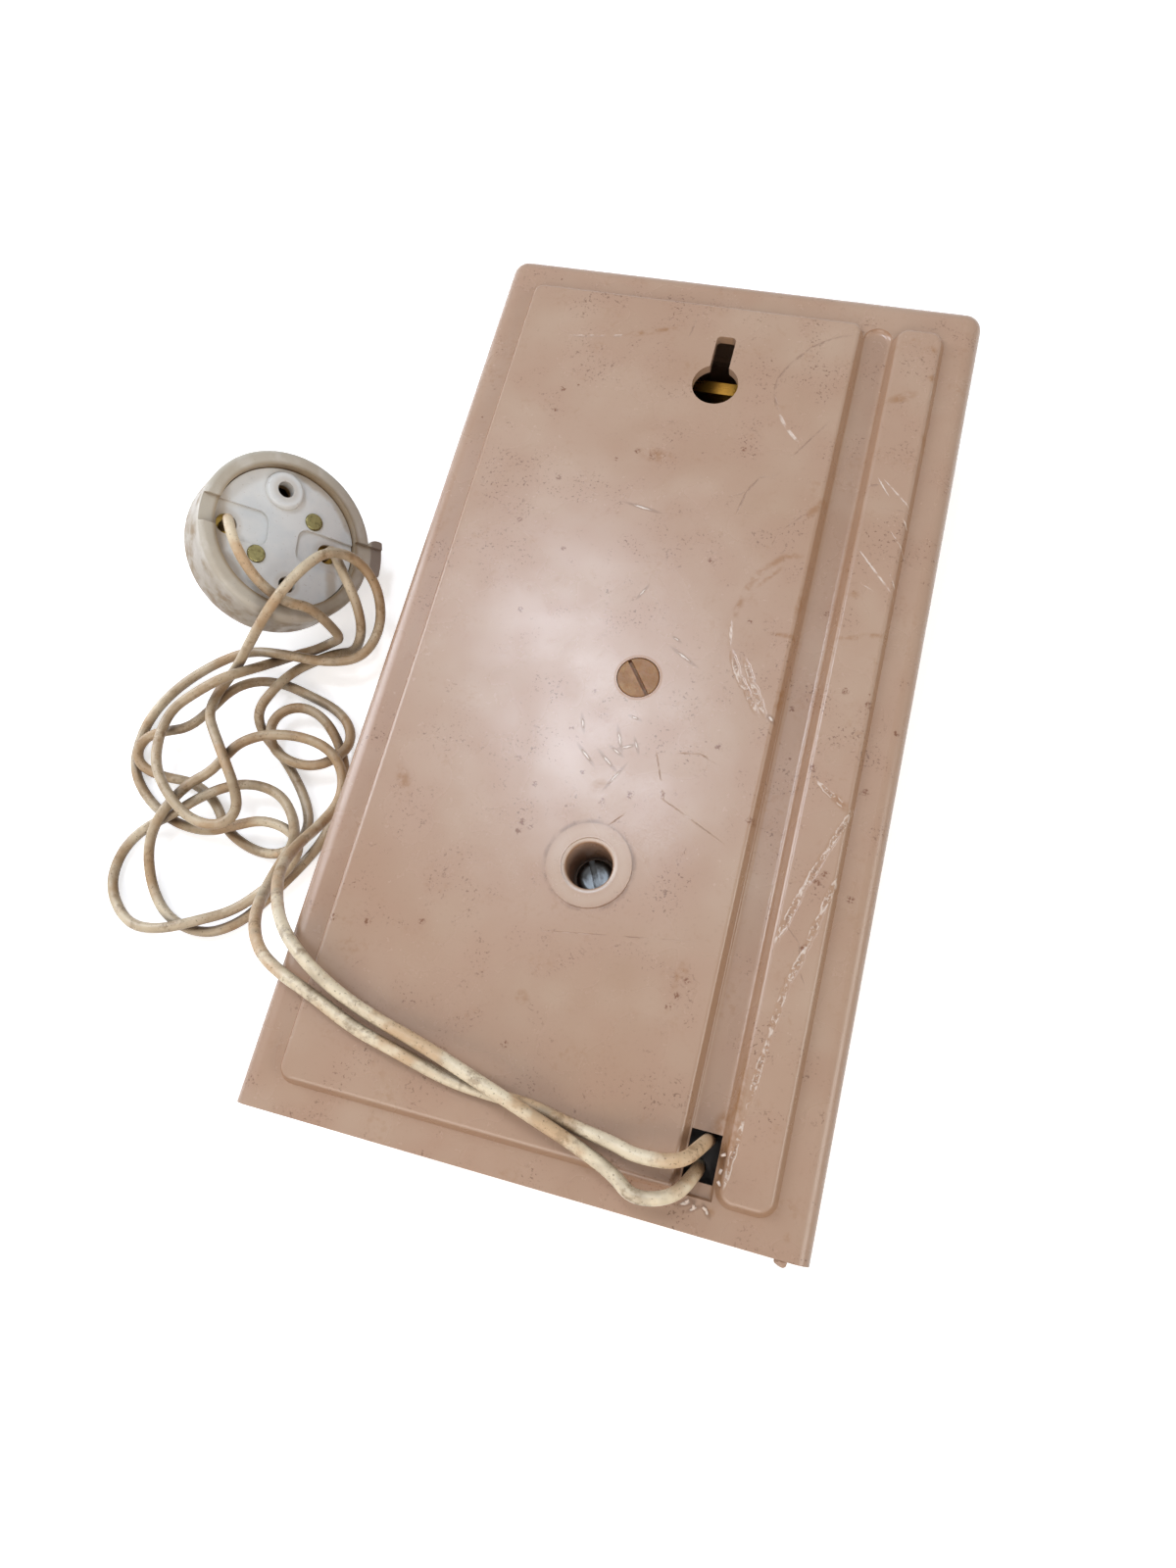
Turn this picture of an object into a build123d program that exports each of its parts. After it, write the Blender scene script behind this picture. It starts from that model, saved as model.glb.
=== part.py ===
from build123d import *
import math
import os

# Two-note electric door chime, lying on its front with its back up.
# Its twin bell wire runs off the left side to a round bell push.
# Origin: on the front cover's face, under the line of keyhole and screws, on the surface it lies on.
# +X to the right seen from behind, +Y towards the hanging keyhole, +Z out of the back.

# Case
CASE_LEFT = -56.4
CASE_RIGHT = 55.4
CASE_BOTTOM = -101.5
CASE_TOP = 103.7
BACK_Z = 46.0
PANEL_RISE = 2.2
WALL = 2.2
SPLIT_Z = 18.0
CORNER_RADIUS = 3.8
EDGE_RADIUS = 3.4
LIP_HEIGHT = 4.0
LIP_WALL = 1.4
FIT_GAP = 0.1
PANEL_Z = BACK_Z + PANEL_RISE
CASE_WIDTH = CASE_RIGHT - CASE_LEFT

# Raised panel, cable channel and narrow bar on the back
PANEL_LEFT = -49.1
PANEL_RIGHT = 30.0
PANEL_TOP = 95.2
PANEL_BOTTOM = -95.5
BAR_LEFT = 36.5
BAR_RIGHT = 47.9
BAR_BOTTOM = -95.8
PANEL_CORNER = 3.5
PANEL_DRAFT = 26.0
PANEL_EDGE_RADIUS = 1.0
CHANNEL_LEFT = 30.4
CHANNEL_RIGHT = 36.1
CHANNEL_TOP = 94.8
CHANNEL_BOTTOM = -95.0
CHANNEL_END_RADIUS = 2.8
CHANNEL_DEPTH = 0.8
CHANNEL_FOOT_RADIUS = 1.2
CORD_HOLE_TOP = -83.9
CORD_HOLE_BOTTOM = -92.7

# Keyhole
KEYHOLE_Y = 72.8
KEYHOLE_RADIUS = 5.2
KEYHOLE_SLOT_WIDTH = 4.4
KEYHOLE_SLOT_TOP = 85.8
KEYHOLE_SLOT_CORNER = 1.0

# Cover screw in its deep bore
BORE_Y = -41.2
BORE_RADIUS = 4.65
BORE_DEPTH = 14.0
BORE_FLOOR = 2.5
BORE_LIP_RADIUS = 0.8
BOSS_RADIUS = 7.0
RING_RADIUS = 8.55
RING_INNER_RADIUS = 5.6
RING_RISE = 0.35
SCREW_CLEARANCE_RADIUS = 2.3
PILLAR_RADIUS = 6.0
PILOT_RADIUS = 1.6
PILOT_DEPTH = 14.0

# Slotted plastic screw that holds the mechanism
PLUG_Y = -0.4
PLUG_HEAD_RADIUS = 4.4
PLUG_SEAT_RADIUS = 4.5
PLUG_SHANK_RADIUS = 3.1
PLUG_HEAD_HEIGHT = 1.4
PLUG_LENGTH = 7.0
PLUG_SLOT_WIDTH = 0.8
PLUG_SLOT_DEPTH = 0.9
PLUG_SLOT_TURN = -52.0

# Mechanism: frame plate, tone bars, solenoid and striker on one axis along Y
FRAME_TOP = 43.5
FRAME_BOTTOM = 41.0
FRAME_HALF_WIDTH = 36.0
FRAME_LOW_Y = -32.0
FRAME_HIGH_Y = 91.0
WINDOW_HALF_WIDTH = 17.0
WINDOW_LOW_Y = 58.0
WINDOW_HIGH_Y = 92.0
AXIS_Z = 24.0
BAR_THICKNESS = 3.2
BAR_BACK_Z = 39.5
BAR_FRONT_Z = 14.5
UPPER_BAR_FACE_Y = 77.0
UPPER_BAR_LENGTH = 84.0
LOWER_BAR_FACE_Y = -21.0
LOWER_BAR_LENGTH = 96.0
NODE_RATIO = 0.224
BAR_HOLE_RADIUS = 4.0
GROMMET_FLANGE_RADIUS = 5.6
GROMMET_FLANGE = 1.6
GROMMET_BORE = 1.6
LUG_WIDTH = 12.0
LUG_THICKNESS = 3.0
LUG_GAP = 3.5
BOBBIN_LOW_Y = 4.0
BOBBIN_HIGH_Y = 48.0
BOBBIN_BORE = 4.8
BOBBIN_TUBE_RADIUS = 6.0
BOBBIN_FLANGE_RADIUS = 13.0
BOBBIN_FLANGE = 1.5
WINDING_RADIUS = 12.0
YOKE_HALF_WIDTH = 13.0
YOKE_THICKNESS = 2.0
CORE_RADIUS = 4.5
CORE_LOW_Y = -8.0
CORE_HIGH_Y = 32.0
ROD_RADIUS = 2.2
TIP_RADIUS = 3.4
TIP_LENGTH = 5.0
STRIKER_UP = 9.0
STRIKER_DOWN = 3.0
STRIKE_GAP = 0.1
SPRING_RADIUS = 3.6
SPRING_WIRE_RADIUS = 0.3
SPRING_TURNS = 7

# Terminal block under the cord hole
BLOCK_LEFT = 27.0
BLOCK_RIGHT = 40.0
BLOCK_LOW_Y = -97.0
BLOCK_HIGH_Y = -79.0
BLOCK_TOP = 32.0
BLOCK_BOTTOM = 19.0
SHELF_HEIGHT = 4.0
TERMINAL_RADIUS = 2.6
TERMINAL_HEAD = 1.8
TERMINAL_SHANK = 1.3

# Coil leads, from the terminal block under the lower bar to the winding
LEAD_DIAMETER = 1.2
LEAD_A_ROUTE = [
    (27, -90, 24), (21, -90, 24), (17.5, -83, 20.5), (17, -70, 14), (17.5, -48, 10), (18, -22, 9),
    (18.5, 2, 11), (19, 15, 16), (19, 23, 21.5), (17, 27, 24), (12, 27, 24)]
LEAD_B_ROUTE = [
    (27, -86, 27), (20.5, -86, 27), (19, -79.5, 23.5), (20, -67, 16), (21, -46, 10.5),
    (22, -22, 9.5), (22, 4, 12), (21.5, 19, 17), (20.5, 29, 21.5), (18, 34, 24), (12, 34, 24)]

# Bell push, in its own frame: +Z out of its back, origin at the centre of its back rim
PUSH_CENTRE = (-99.1, 28.4, 26.4)
PUSH_TILT = 43.8
PUSH_TURN = 3.3
PUSH_RADIUS = 22.0
PUSH_INNER_RADIUS = 18.2
PUSH_STRAIGHT = 12.0
PUSH_FRONT_RADIUS = 8.0
PUSH_FRONT_WALL = 2.4
BASE_RADIUS = 18.0
BASE_DEPTH = 2.5
BASE_THICKNESS = 3.2
BASE_BOSS_RADIUS = 4.9
BASE_BOSS_RISE = 1.4
PUSH_SCREW_RADIUS = 2.1
PUSH_SCREW_CIRCLE = 12.2
PUSH_SCREW_ANGLE = 110.0
PUSH_TERMINAL_CIRCLE = 9.3
PUSH_TERMINAL_ANGLE = 55.0
PUSH_TERMINAL_RADIUS = 2.3
WIRE_HOLE_RADIUS = 2.6
LEFT_WIRE_HOLE = (-14.2, -3.6)
RIGHT_WIRE_HOLE = (11.4, 1.6)
CHANNEL_ANGLE = 12.0
PUSH_CHANNEL_WIDTH = 8.4
PUSH_CHANNEL_DEPTH = 0.8
BUTTON_RADIUS = 7.0
BUTTON_PROUD = 2.5
BUTTON_TRAVEL = 2.0
BUTTON_FLANGE_RADIUS = 8.6
LEAF_CONTACT_RADIUS = 4.2
LEAF_HALF_LENGTH = 6.0
CONTACT_WIDTH = 5.4
CONTACT_THICKNESS = 0.8
LEAF_LEVEL = -BASE_DEPTH - BASE_THICKNESS - CONTACT_THICKNESS - BUTTON_TRAVEL - 2.0
LUG_REACH = 25.6

# Bell wire: two single cores, each one free length from terminal block to bell push
WIRE_DIAMETER = 2.6
WIRE_A_ROUTE = [
    (33, -90.5, 32), (33, -90.5, 40), (32.8, -91, 47), (30, -96, 52), (23, -98, 52), (19, -95, 51),
    (11, -92, 51), (2, -89, 54), (-9.5, -85.5, 54), (-22, -82, 51.5), (-33, -79.5, 51),
    (-41.5, -76.5, 51.5), (-49, -72.5, 52.5), (-57, -67.5, 48), (-64, -61.5, 40), (-70, -54, 31),
    (-72, -46.5, 22), (-71.5, -40, 15), (-70, -32, 11), (-72, -24.5, 10.5), (-77.5, -19.5, 11),
    (-86, -18, 11), (-95, -19.5, 11), (-100.5, -23, 11.5), (-103.5, -27, 10.5), (-107, -32, 9),
    (-112, -36, 8.5), (-116, -44, 8.5), (-118.5, -52, 5.5), (-116, -61.5, 2), (-108.5, -69, 2),
    (-97.5, -71, 2), (-89, -66, 2), (-84, -58, 2), (-79, -49.5, 2), (-75, -41, 2),
    (-74, -31.5, 2), (-75, -22.5, 2), (-79.5, -15, 3), (-85, -10, 4), (-91, -8.5, 5),
    (-96, -11, 5.5), (-97.5, -16, 6), (-94.5, -21.5, 6), (-89, -24, 6), (-82.5, -24, 6),
    (-77.5, -21, 6), (-75, -16, 5), (-77.5, -10.5, 3.5), (-83.5, -6.5, 2), (-91, -4.5, 2),
    (-100, -2.5, 2), (-107, -3.5, 3), (-112, -8, 5), (-115.5, -15.5, 5.5), (-119, -21, 6),
    (-125, -23, 5.5), (-129.5, -25, 5), (-131.5, -28.5, 4.5), (-130.5, -32, 4), (-127, -34, 3.5),
    (-121.5, -34.5, 3), (-114, -34, 2.5), (-106.5, -37.5, 2), (-101.5, -44, 2), (-93, -47.5, 2),
    (-86, -47.5, 2), (-81.5, -44.5, 2.5), (-79.5, -40, 3), (-80.5, -35.5, 3), (-85, -29.5, 2.5),
    (-93, -22, 2), (-99.5, -18, 4), (-101.5, -13, 7.5), (-99, -6, 7.5), (-97.5, 0.5, 4),
    (-93.5, 5.5, 2), (-88, 9, 2), (-82.5, 9.5, 4), (-80, 13.5, 9.5), (-81, 18, 15),
    (-84.5, 23, 18.8), (-88, 27.3, 20.8), (-90.8, 30, 19), (-92.6, 29.9, 16.7), (-94.8, 29.8, 14.4)]
WIRE_B_ROUTE = [
    (34, -85, 32), (34, -85, 41), (33, -86, 50), (30, -90, 55), (22, -91, 53), (18, -90, 51),
    (9, -89, 50), (1, -87.5, 50), (-6.5, -87.5, 50), (-15.5, -87, 50), (-26, -84.5, 51),
    (-35.5, -82.5, 51), (-45.5, -78.5, 51), (-54, -76, 49.5), (-62.5, -72.5, 44),
    (-69.5, -66, 36), (-73, -59.5, 28), (-75.5, -52, 20), (-77, -45, 13), (-81.5, -38.5, 8),
    (-87.5, -33, 6), (-94.5, -31.5, 6), (-101, -33, 6.5), (-108, -37.5, 6.5), (-115, -44, 5.3),
    (-123.5, -49, 2), (-127, -56.5, 2), (-126, -65.5, 2), (-117.5, -73, 3), (-107.5, -72.5, 5),
    (-98.5, -68, 5), (-91, -63.5, 3.5), (-84, -56.5, 5.3), (-79.5, -50.5, 6), (-78, -44.5, 7),
    (-82.5, -41, 7), (-90.5, -40, 6), (-97, -43, 6), (-104.5, -46, 4), (-115.5, -45.5, 1.6),
    (-125.5, -41, 1.6), (-132.5, -34, 1.6), (-134, -24.5, 1.6), (-132.5, -17, 2),
    (-128, -8.5, 2), (-120, -1, 3), (-110.5, 3.5, 5.5), (-99, 3.5, 8), (-87, 3.5, 8),
    (-78, 7, 7.5), (-75.5, 16.5, 9), (-77.5, 24.5, 15), (-82.5, 28, 21.5), (-87.5, 25.5, 27.5),
    (-90.5, 16.5, 31.5), (-94, 7, 31.5), (-102.5, 2, 20), (-110.3, -3.3, 8.8), (-113.5, -10, 7.8),
    (-113, -17, 9.5), (-107, -23, 12.8), (-100.5, -30, 14.3), (-96.5, -35.5, 13), (-95, -40, 11.5),
    (-97, -44, 11), (-102.5, -45.5, 11), (-108.5, -44, 11.5), (-115, -39.5, 12), (-121.5, -33, 10.5),
    (-124, -24.5, 9.5), (-123, -17.5, 9.5), (-116.5, -12.5, 12), (-110, -8.5, 14.5),
    (-105, -3, 10.5), (-103.2, 2.2, 4.1), (-99.5, 6, 2), (-94.5, 8.5, 2), (-89.5, 11, 4),
    (-84.5, 10, 10.5), (-85.5, 10.5, 17.5), (-89.5, 12, 22.5), (-93.5, 10.5, 25.5),
    (-98.5, 11.5, 31), (-102.5, 15, 36.5),
    (-105.3, 19.3, 39.8), (-108, 23.6, 39.5), (-110.3, 24.8, 35.3), (-113.2, 24.6, 32.3)]


def outline(left, right, bottom, top, radii):
    """A rectangle whose corners, from bottom left anticlockwise, have their own radii."""
    corners = [(left, bottom), (right, bottom), (right, top), (left, top)]
    return make_face(FilletPolyline(*corners, radius=radii, close=True))


def block(left, right, bottom, top, low, high):
    """A plain block between six planes."""
    centre = ((left + right) / 2, (bottom + top) / 2, (low + high) / 2)
    return Pos(*centre) * Box(right - left, top - bottom, high - low)


def rod(x, y, low, high, radius):
    """A round rod along Z."""
    return Pos(x, y, (low + high) / 2) * Cylinder(radius, high - low)


def axial(radius, low_y, high_y):
    """A round rod on the striker's axis, along Y."""
    return Pos(0, (low_y + high_y) / 2, AXIS_Z) * Rot(90, 0, 0) * Cylinder(radius, high_y - low_y)


def tray(low, high, inset):
    """A case-shaped block with round corners at its keyhole end."""
    radius = CORNER_RADIUS - inset
    shape = outline(CASE_LEFT + inset, CASE_RIGHT - inset, CASE_BOTTOM, CASE_TOP - inset, [0, 0, radius, radius])
    return Pos(0, 0, low) * extrude(shape, high - low)


def raised(left, right, bottom, top, radii):
    """A raised field with sloping sides and a rounded rim."""
    field = Pos(0, 0, BACK_Z) * extrude(outline(left, right, bottom, top, radii), PANEL_RISE, taper=PANEL_DRAFT)
    rim = field.edges().group_by(Axis.Z)[-1]
    return fillet(rim, PANEL_EDGE_RADIUS)


def back_shell():
    """Moulded back with its two side walls and top wall."""
    shell = tray(SPLIT_Z, BACK_Z, 0)
    rim = [e for e in shell.edges().group_by(Axis.Z)[-1] if e.center().Y > CASE_BOTTOM + FIT_GAP]
    shell = fillet(rim, EDGE_RADIUS)
    shell -= tray(SPLIT_Z - 1, BACK_Z - WALL, WALL)
    shell += raised(PANEL_LEFT, PANEL_RIGHT, PANEL_BOTTOM, PANEL_TOP, [PANEL_CORNER, 1.5, 3.0, 3.0])
    shell += raised(BAR_LEFT, BAR_RIGHT, BAR_BOTTOM, PANEL_TOP, [PANEL_CORNER] * 4)
    shell = channel_rounded(shell - cable_channel())
    shell -= block(PANEL_LEFT + WALL, PANEL_RIGHT - WALL, PANEL_BOTTOM + WALL, PANEL_TOP - WALL,
                   BACK_Z - 2 * WALL, BACK_Z)
    shell += rod(0, BORE_Y, PANEL_Z - BORE_DEPTH - BORE_FLOOR, PANEL_Z - 1, BOSS_RADIUS)
    ring = rod(0, BORE_Y, PANEL_Z - 1, PANEL_Z + RING_RISE, RING_RADIUS)
    ring -= rod(0, BORE_Y, PANEL_Z, PANEL_Z + 1, RING_INNER_RADIUS)
    shell += ring
    shell -= rod(0, BORE_Y, PANEL_Z - BORE_DEPTH, PANEL_Z + 1, BORE_RADIUS)
    shell -= rod(0, BORE_Y, 0, PANEL_Z, SCREW_CLEARANCE_RADIUS)
    lip = [e for e in shell.edges().filter_by(GeomType.CIRCLE)
           if abs(e.radius - BORE_RADIUS) < FIT_GAP and abs(e.center().Z - PANEL_Z) < FIT_GAP]
    shell = fillet(lip, BORE_LIP_RADIUS)
    return shell - back_openings() + terminal_shelf()


def cable_channel():
    """Groove between the panel and the bar, whose sides go on down from theirs."""
    groove = outline(CHANNEL_LEFT, CHANNEL_RIGHT, CHANNEL_BOTTOM, CHANNEL_TOP, [0, 0, CHANNEL_END_RADIUS, CHANNEL_END_RADIUS])
    return Pos(0, 0, BACK_Z - CHANNEL_DEPTH) * extrude(groove, PANEL_RISE + CHANNEL_DEPTH, taper=-PANEL_DRAFT)


def channel_rounded(shell):
    """Rounds the hollow edges along the channel's floor."""
    floor = [e for e in shell.edges().filter_by(Axis.Y)
             if abs(e.center().Z - BACK_Z + CHANNEL_DEPTH) < FIT_GAP and e.length > CASE_WIDTH]
    return fillet(floor, CHANNEL_FOOT_RADIUS)


def back_openings():
    """Everything cut through the back: cord hole, keyhole and screw seat."""
    cuts = block(CHANNEL_LEFT, CHANNEL_RIGHT, CORD_HOLE_BOTTOM, CORD_HOLE_TOP, BACK_Z - 2 * WALL, PANEL_Z)
    cuts += rod(0, KEYHOLE_Y, BACK_Z - WALL, PANEL_Z + 1, KEYHOLE_RADIUS)
    half = KEYHOLE_SLOT_WIDTH / 2
    corner = KEYHOLE_SLOT_CORNER
    slot = outline(-half, half, KEYHOLE_Y, KEYHOLE_SLOT_TOP, [0, 0, corner, corner])
    cuts += Pos(0, 0, BACK_Z - WALL) * extrude(slot, PANEL_RISE + 2 * WALL)
    cuts += rod(0, PLUG_Y, BACK_Z - WALL, PANEL_Z, PLUG_SHANK_RADIUS)
    cuts += rod(0, PLUG_Y, PANEL_Z - PLUG_HEAD_HEIGHT, PANEL_Z + 1, PLUG_SEAT_RADIUS)
    return cuts


def terminal_shelf():
    """Shelf on the right wall that carries the terminal block."""
    return block(BLOCK_RIGHT, CASE_RIGHT - WALL, BLOCK_LOW_Y, BLOCK_HIGH_Y,
                 BLOCK_BOTTOM + SHELF_HEIGHT, BLOCK_BOTTOM + 2 * SHELF_HEIGHT)


def front_cover():
    """Front face with low walls, the bottom wall with its sound slots, and the screw pillar."""
    cover = tray(0, SPLIT_Z, 0)
    rim = [e for e in cover.edges().group_by(Axis.Z)[0] if e.center().Y > CASE_BOTTOM + FIT_GAP]
    cover = fillet(rim, EDGE_RADIUS)
    inside = outline(CASE_LEFT + WALL, CASE_RIGHT - WALL, CASE_BOTTOM + WALL, CASE_TOP - WALL, [1.0] * 4)
    cover -= Pos(0, 0, WALL) * extrude(inside, SPLIT_Z)
    edge = WALL + FIT_GAP
    corner = CORNER_RADIUS - WALL
    shape = outline(CASE_LEFT + edge, CASE_RIGHT - edge, CASE_BOTTOM, CASE_TOP - edge,
                    [0, 0, corner, corner])
    lip = Pos(0, 0, SPLIT_Z - LIP_HEIGHT) * extrude(shape, 2 * LIP_HEIGHT)
    deep = edge + LIP_WALL
    lip -= block(CASE_LEFT + deep, CASE_RIGHT - deep, CASE_BOTTOM - 1, CASE_TOP - deep,
                 SPLIT_Z - LIP_HEIGHT, SPLIT_Z + LIP_HEIGHT)
    cover += lip
    cover += block(CASE_LEFT + edge, CASE_RIGHT - edge, CASE_BOTTOM, CASE_BOTTOM + WALL,
                   0, BACK_Z - WALL - FIT_GAP)
    cover += rod(0, BORE_Y, WALL - 1, PANEL_Z - BORE_DEPTH - BORE_FLOOR, PILLAR_RADIUS)
    pillar_top = PANEL_Z - BORE_DEPTH - BORE_FLOOR
    cover -= rod(0, BORE_Y, pillar_top - PILOT_DEPTH, pillar_top + 1, PILOT_RADIUS)
    return cover - sound_slots()


def sound_slots():
    """Row of upright slots through the bottom wall."""
    slots = Part()
    for step in range(-4, 5):
        x = step * 9.0
        slots += block(x - 1.5, x + 1.5, CASE_BOTTOM - 1, CASE_BOTTOM + 2 * WALL, 8.0, 30.0)
    return slots


def cover_screw():
    """Steel pan-head screw at the bottom of the deep bore."""
    seat = PANEL_Z - BORE_DEPTH
    head_height = 2.6
    head = rod(0, BORE_Y, seat, seat + head_height, 4.0)
    head = fillet(head.edges().group_by(Axis.Z)[-1], 1.4)
    head -= Pos(0, BORE_Y, seat + head_height) * Rot(0, 0, 117) * Box(10, 1.2, 2.4)
    screw = head + rod(0, BORE_Y, seat - BORE_FLOOR, seat, 2.1)
    return screw + rod(0, BORE_Y, seat - BORE_FLOOR - 10.0, seat - BORE_FLOOR, PILOT_RADIUS)


def mechanism_screw():
    """Slotted plastic screw, flush in the back."""
    screw = rod(0, PLUG_Y, PANEL_Z - PLUG_HEAD_HEIGHT, PANEL_Z, PLUG_HEAD_RADIUS)
    screw = fillet(screw.edges().group_by(Axis.Z)[-1], 0.3)
    screw += rod(0, PLUG_Y, PANEL_Z - PLUG_LENGTH, PANEL_Z - PLUG_HEAD_HEIGHT, PLUG_SHANK_RADIUS)
    slot = Box(2 * PLUG_SEAT_RADIUS, PLUG_SLOT_WIDTH, 2 * PLUG_SLOT_DEPTH)
    return screw - Pos(0, PLUG_Y, PANEL_Z) * Rot(0, 0, PLUG_SLOT_TURN) * slot


def bar_supports():
    """Places of the four bar supports: x, the bar's far face, and the way to the lug."""
    upper = UPPER_BAR_LENGTH * (0.5 - NODE_RATIO)
    lower = LOWER_BAR_LENGTH * (0.5 - NODE_RATIO)
    places = []
    for side in (-1, 1):
        places.append((side * upper, UPPER_BAR_FACE_Y, 1))
        places.append((side * lower, LOWER_BAR_FACE_Y, -1))
    return places


def along_y(x, start, end, radius):
    """A round rod along Y at a bar support."""
    return Pos(x, (start + end) / 2, AXIS_Z) * Rot(90, 0, 0) * Cylinder(radius, abs(end - start))


def mechanism_frame():
    """Moulded plate with four hanging lugs, a screw boss and spacer feet."""
    frame = Pos(0, 0, FRAME_BOTTOM) * extrude(
        outline(-FRAME_HALF_WIDTH, FRAME_HALF_WIDTH, FRAME_LOW_Y, FRAME_HIGH_Y, [4.0] * 4),
        FRAME_TOP - FRAME_BOTTOM)
    frame -= block(-WINDOW_HALF_WIDTH, WINDOW_HALF_WIDTH, WINDOW_LOW_Y, WINDOW_HIGH_Y, FRAME_BOTTOM, FRAME_TOP)
    frame += rod(0, PLUG_Y, FRAME_BOTTOM, BACK_Z, 6.5)
    for x in (-24.0, 24.0):
        for y in (-24.0, 52.0):
            frame += rod(x, y, FRAME_TOP, BACK_Z, 3.0)
    for x, face, way in bar_supports():
        near = face + way * (BAR_THICKNESS + LUG_GAP)
        far = near + way * LUG_THICKNESS
        lug = block(x - LUG_WIDTH / 2, x + LUG_WIDTH / 2, min(near, far), max(near, far),
                    AXIS_Z - LUG_WIDTH / 2, FRAME_BOTTOM)
        frame += lug
        frame -= along_y(x, near, far, GROMMET_BORE)
    frame -= rod(0, PLUG_Y, FRAME_BOTTOM - 1, BACK_Z, PLUG_SHANK_RADIUS)
    for y in (14.0, 40.0):
        frame -= rod(0, y, FRAME_BOTTOM, FRAME_TOP, 1.2)
    return frame


def tone_bar(length, face, way):
    """Flat sounding bar standing across the case, with a hole at each node of its vibration."""
    far = face + way * BAR_THICKNESS
    bar = block(-length / 2, length / 2, min(face, far), max(face, far), BAR_FRONT_Z, BAR_BACK_Z)
    for x in (-length * (0.5 - NODE_RATIO), length * (0.5 - NODE_RATIO)):
        bar -= along_y(x, face - way, far + way, BAR_HOLE_RADIUS)
    return bar


def bar_grommets():
    """Four rubber grommets that carry the bars clear of the lugs."""
    grommets = []
    for x, face, way in bar_supports():
        far = face + way * BAR_THICKNESS
        lug = far + way * LUG_GAP
        grommet = along_y(x, face - way * GROMMET_FLANGE, face, GROMMET_FLANGE_RADIUS)
        grommet += along_y(x, face, far, BAR_HOLE_RADIUS)
        grommet += along_y(x, far, lug, GROMMET_FLANGE_RADIUS)
        grommet -= along_y(x, face - way * 2 * GROMMET_FLANGE, lug + way, GROMMET_BORE)
        grommets.append(grommet)
    return Compound(children=grommets)


def bar_screws():
    """Four screws through the grommets into the lugs."""
    screws = []
    for x, face, way in bar_supports():
        start = face - way * GROMMET_FLANGE
        end = face + way * (BAR_THICKNESS + LUG_GAP + LUG_THICKNESS)
        screw = along_y(x, start - way * 1.8, start, 3.2)
        screw += along_y(x, start, end, GROMMET_BORE)
        screws.append(screw)
    return Compound(children=screws)


def solenoid_yoke():
    """Steel strip bent into a U round the coil."""
    low = BOBBIN_LOW_Y - YOKE_THICKNESS
    high = BOBBIN_HIGH_Y + YOKE_THICKNESS
    yoke = block(-YOKE_HALF_WIDTH, YOKE_HALF_WIDTH, low, high, FRAME_BOTTOM - YOKE_THICKNESS, FRAME_BOTTOM)
    yoke += block(-YOKE_HALF_WIDTH, YOKE_HALF_WIDTH, low, BOBBIN_LOW_Y, AXIS_Z - 12, FRAME_BOTTOM)
    yoke += block(-YOKE_HALF_WIDTH, YOKE_HALF_WIDTH, BOBBIN_HIGH_Y, high, AXIS_Z - 12, FRAME_BOTTOM)
    yoke -= axial(CORE_RADIUS + 0.6, low - 1, BOBBIN_LOW_Y + 1)
    yoke -= axial(ROD_RADIUS + 0.6, BOBBIN_HIGH_Y - 1, high + 1)
    for y in (14.0, 40.0):
        yoke -= rod(0, y, FRAME_BOTTOM - YOKE_THICKNESS, FRAME_BOTTOM, 1.2)
    return yoke


def yoke_screws():
    """Two short screws that hold the yoke under the frame."""
    screws = []
    for y in (14.0, 40.0):
        head = rod(0, y, FRAME_BOTTOM - YOKE_THICKNESS - 1.2, FRAME_BOTTOM - YOKE_THICKNESS, 2.6)
        screws.append(head + rod(0, y, FRAME_BOTTOM - YOKE_THICKNESS, FRAME_TOP, 1.2))
    return Compound(children=screws)


def coil_bobbin():
    """Moulded bobbin with a shoulder that the return spring bears on."""
    bobbin = axial(BOBBIN_TUBE_RADIUS, BOBBIN_LOW_Y, BOBBIN_HIGH_Y)
    bobbin += axial(BOBBIN_FLANGE_RADIUS, BOBBIN_LOW_Y, BOBBIN_LOW_Y + BOBBIN_FLANGE)
    bobbin += axial(BOBBIN_FLANGE_RADIUS, BOBBIN_HIGH_Y - BOBBIN_FLANGE, BOBBIN_HIGH_Y)
    bobbin -= axial(BOBBIN_BORE, BOBBIN_LOW_Y - 1, BOBBIN_HIGH_Y - 2.5)
    return bobbin - axial(ROD_RADIUS + 0.6, BOBBIN_LOW_Y, BOBBIN_HIGH_Y + 1)


def coil_winding():
    """Enamelled copper winding."""
    low = BOBBIN_LOW_Y + BOBBIN_FLANGE
    high = BOBBIN_HIGH_Y - BOBBIN_FLANGE
    winding = axial(WINDING_RADIUS, low, high)
    winding = fillet(winding.edges().filter_by(GeomType.CIRCLE), 1.0)
    return winding - axial(BOBBIN_TUBE_RADIUS, low - 1, high + 1)


def striker_core():
    """Steel plunger with the thinner rod that carries the upper tip."""
    core = axial(CORE_RADIUS, CORE_LOW_Y, CORE_HIGH_Y)
    core = chamfer(core.edges().filter_by(GeomType.CIRCLE), 0.5)
    rod_end = UPPER_BAR_FACE_Y - STRIKER_UP - STRIKE_GAP - TIP_LENGTH
    return core + axial(ROD_RADIUS, CORE_HIGH_Y - 1, rod_end)


def striker_tip(start, end):
    """Nylon tip with a rounded striking end."""
    tip = axial(TIP_RADIUS, min(start, end), max(start, end))
    side = -1 if end > start else 0
    return fillet(tip.edges().filter_by(GeomType.CIRCLE).sort_by(Axis.Y)[side], 1.6)


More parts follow.
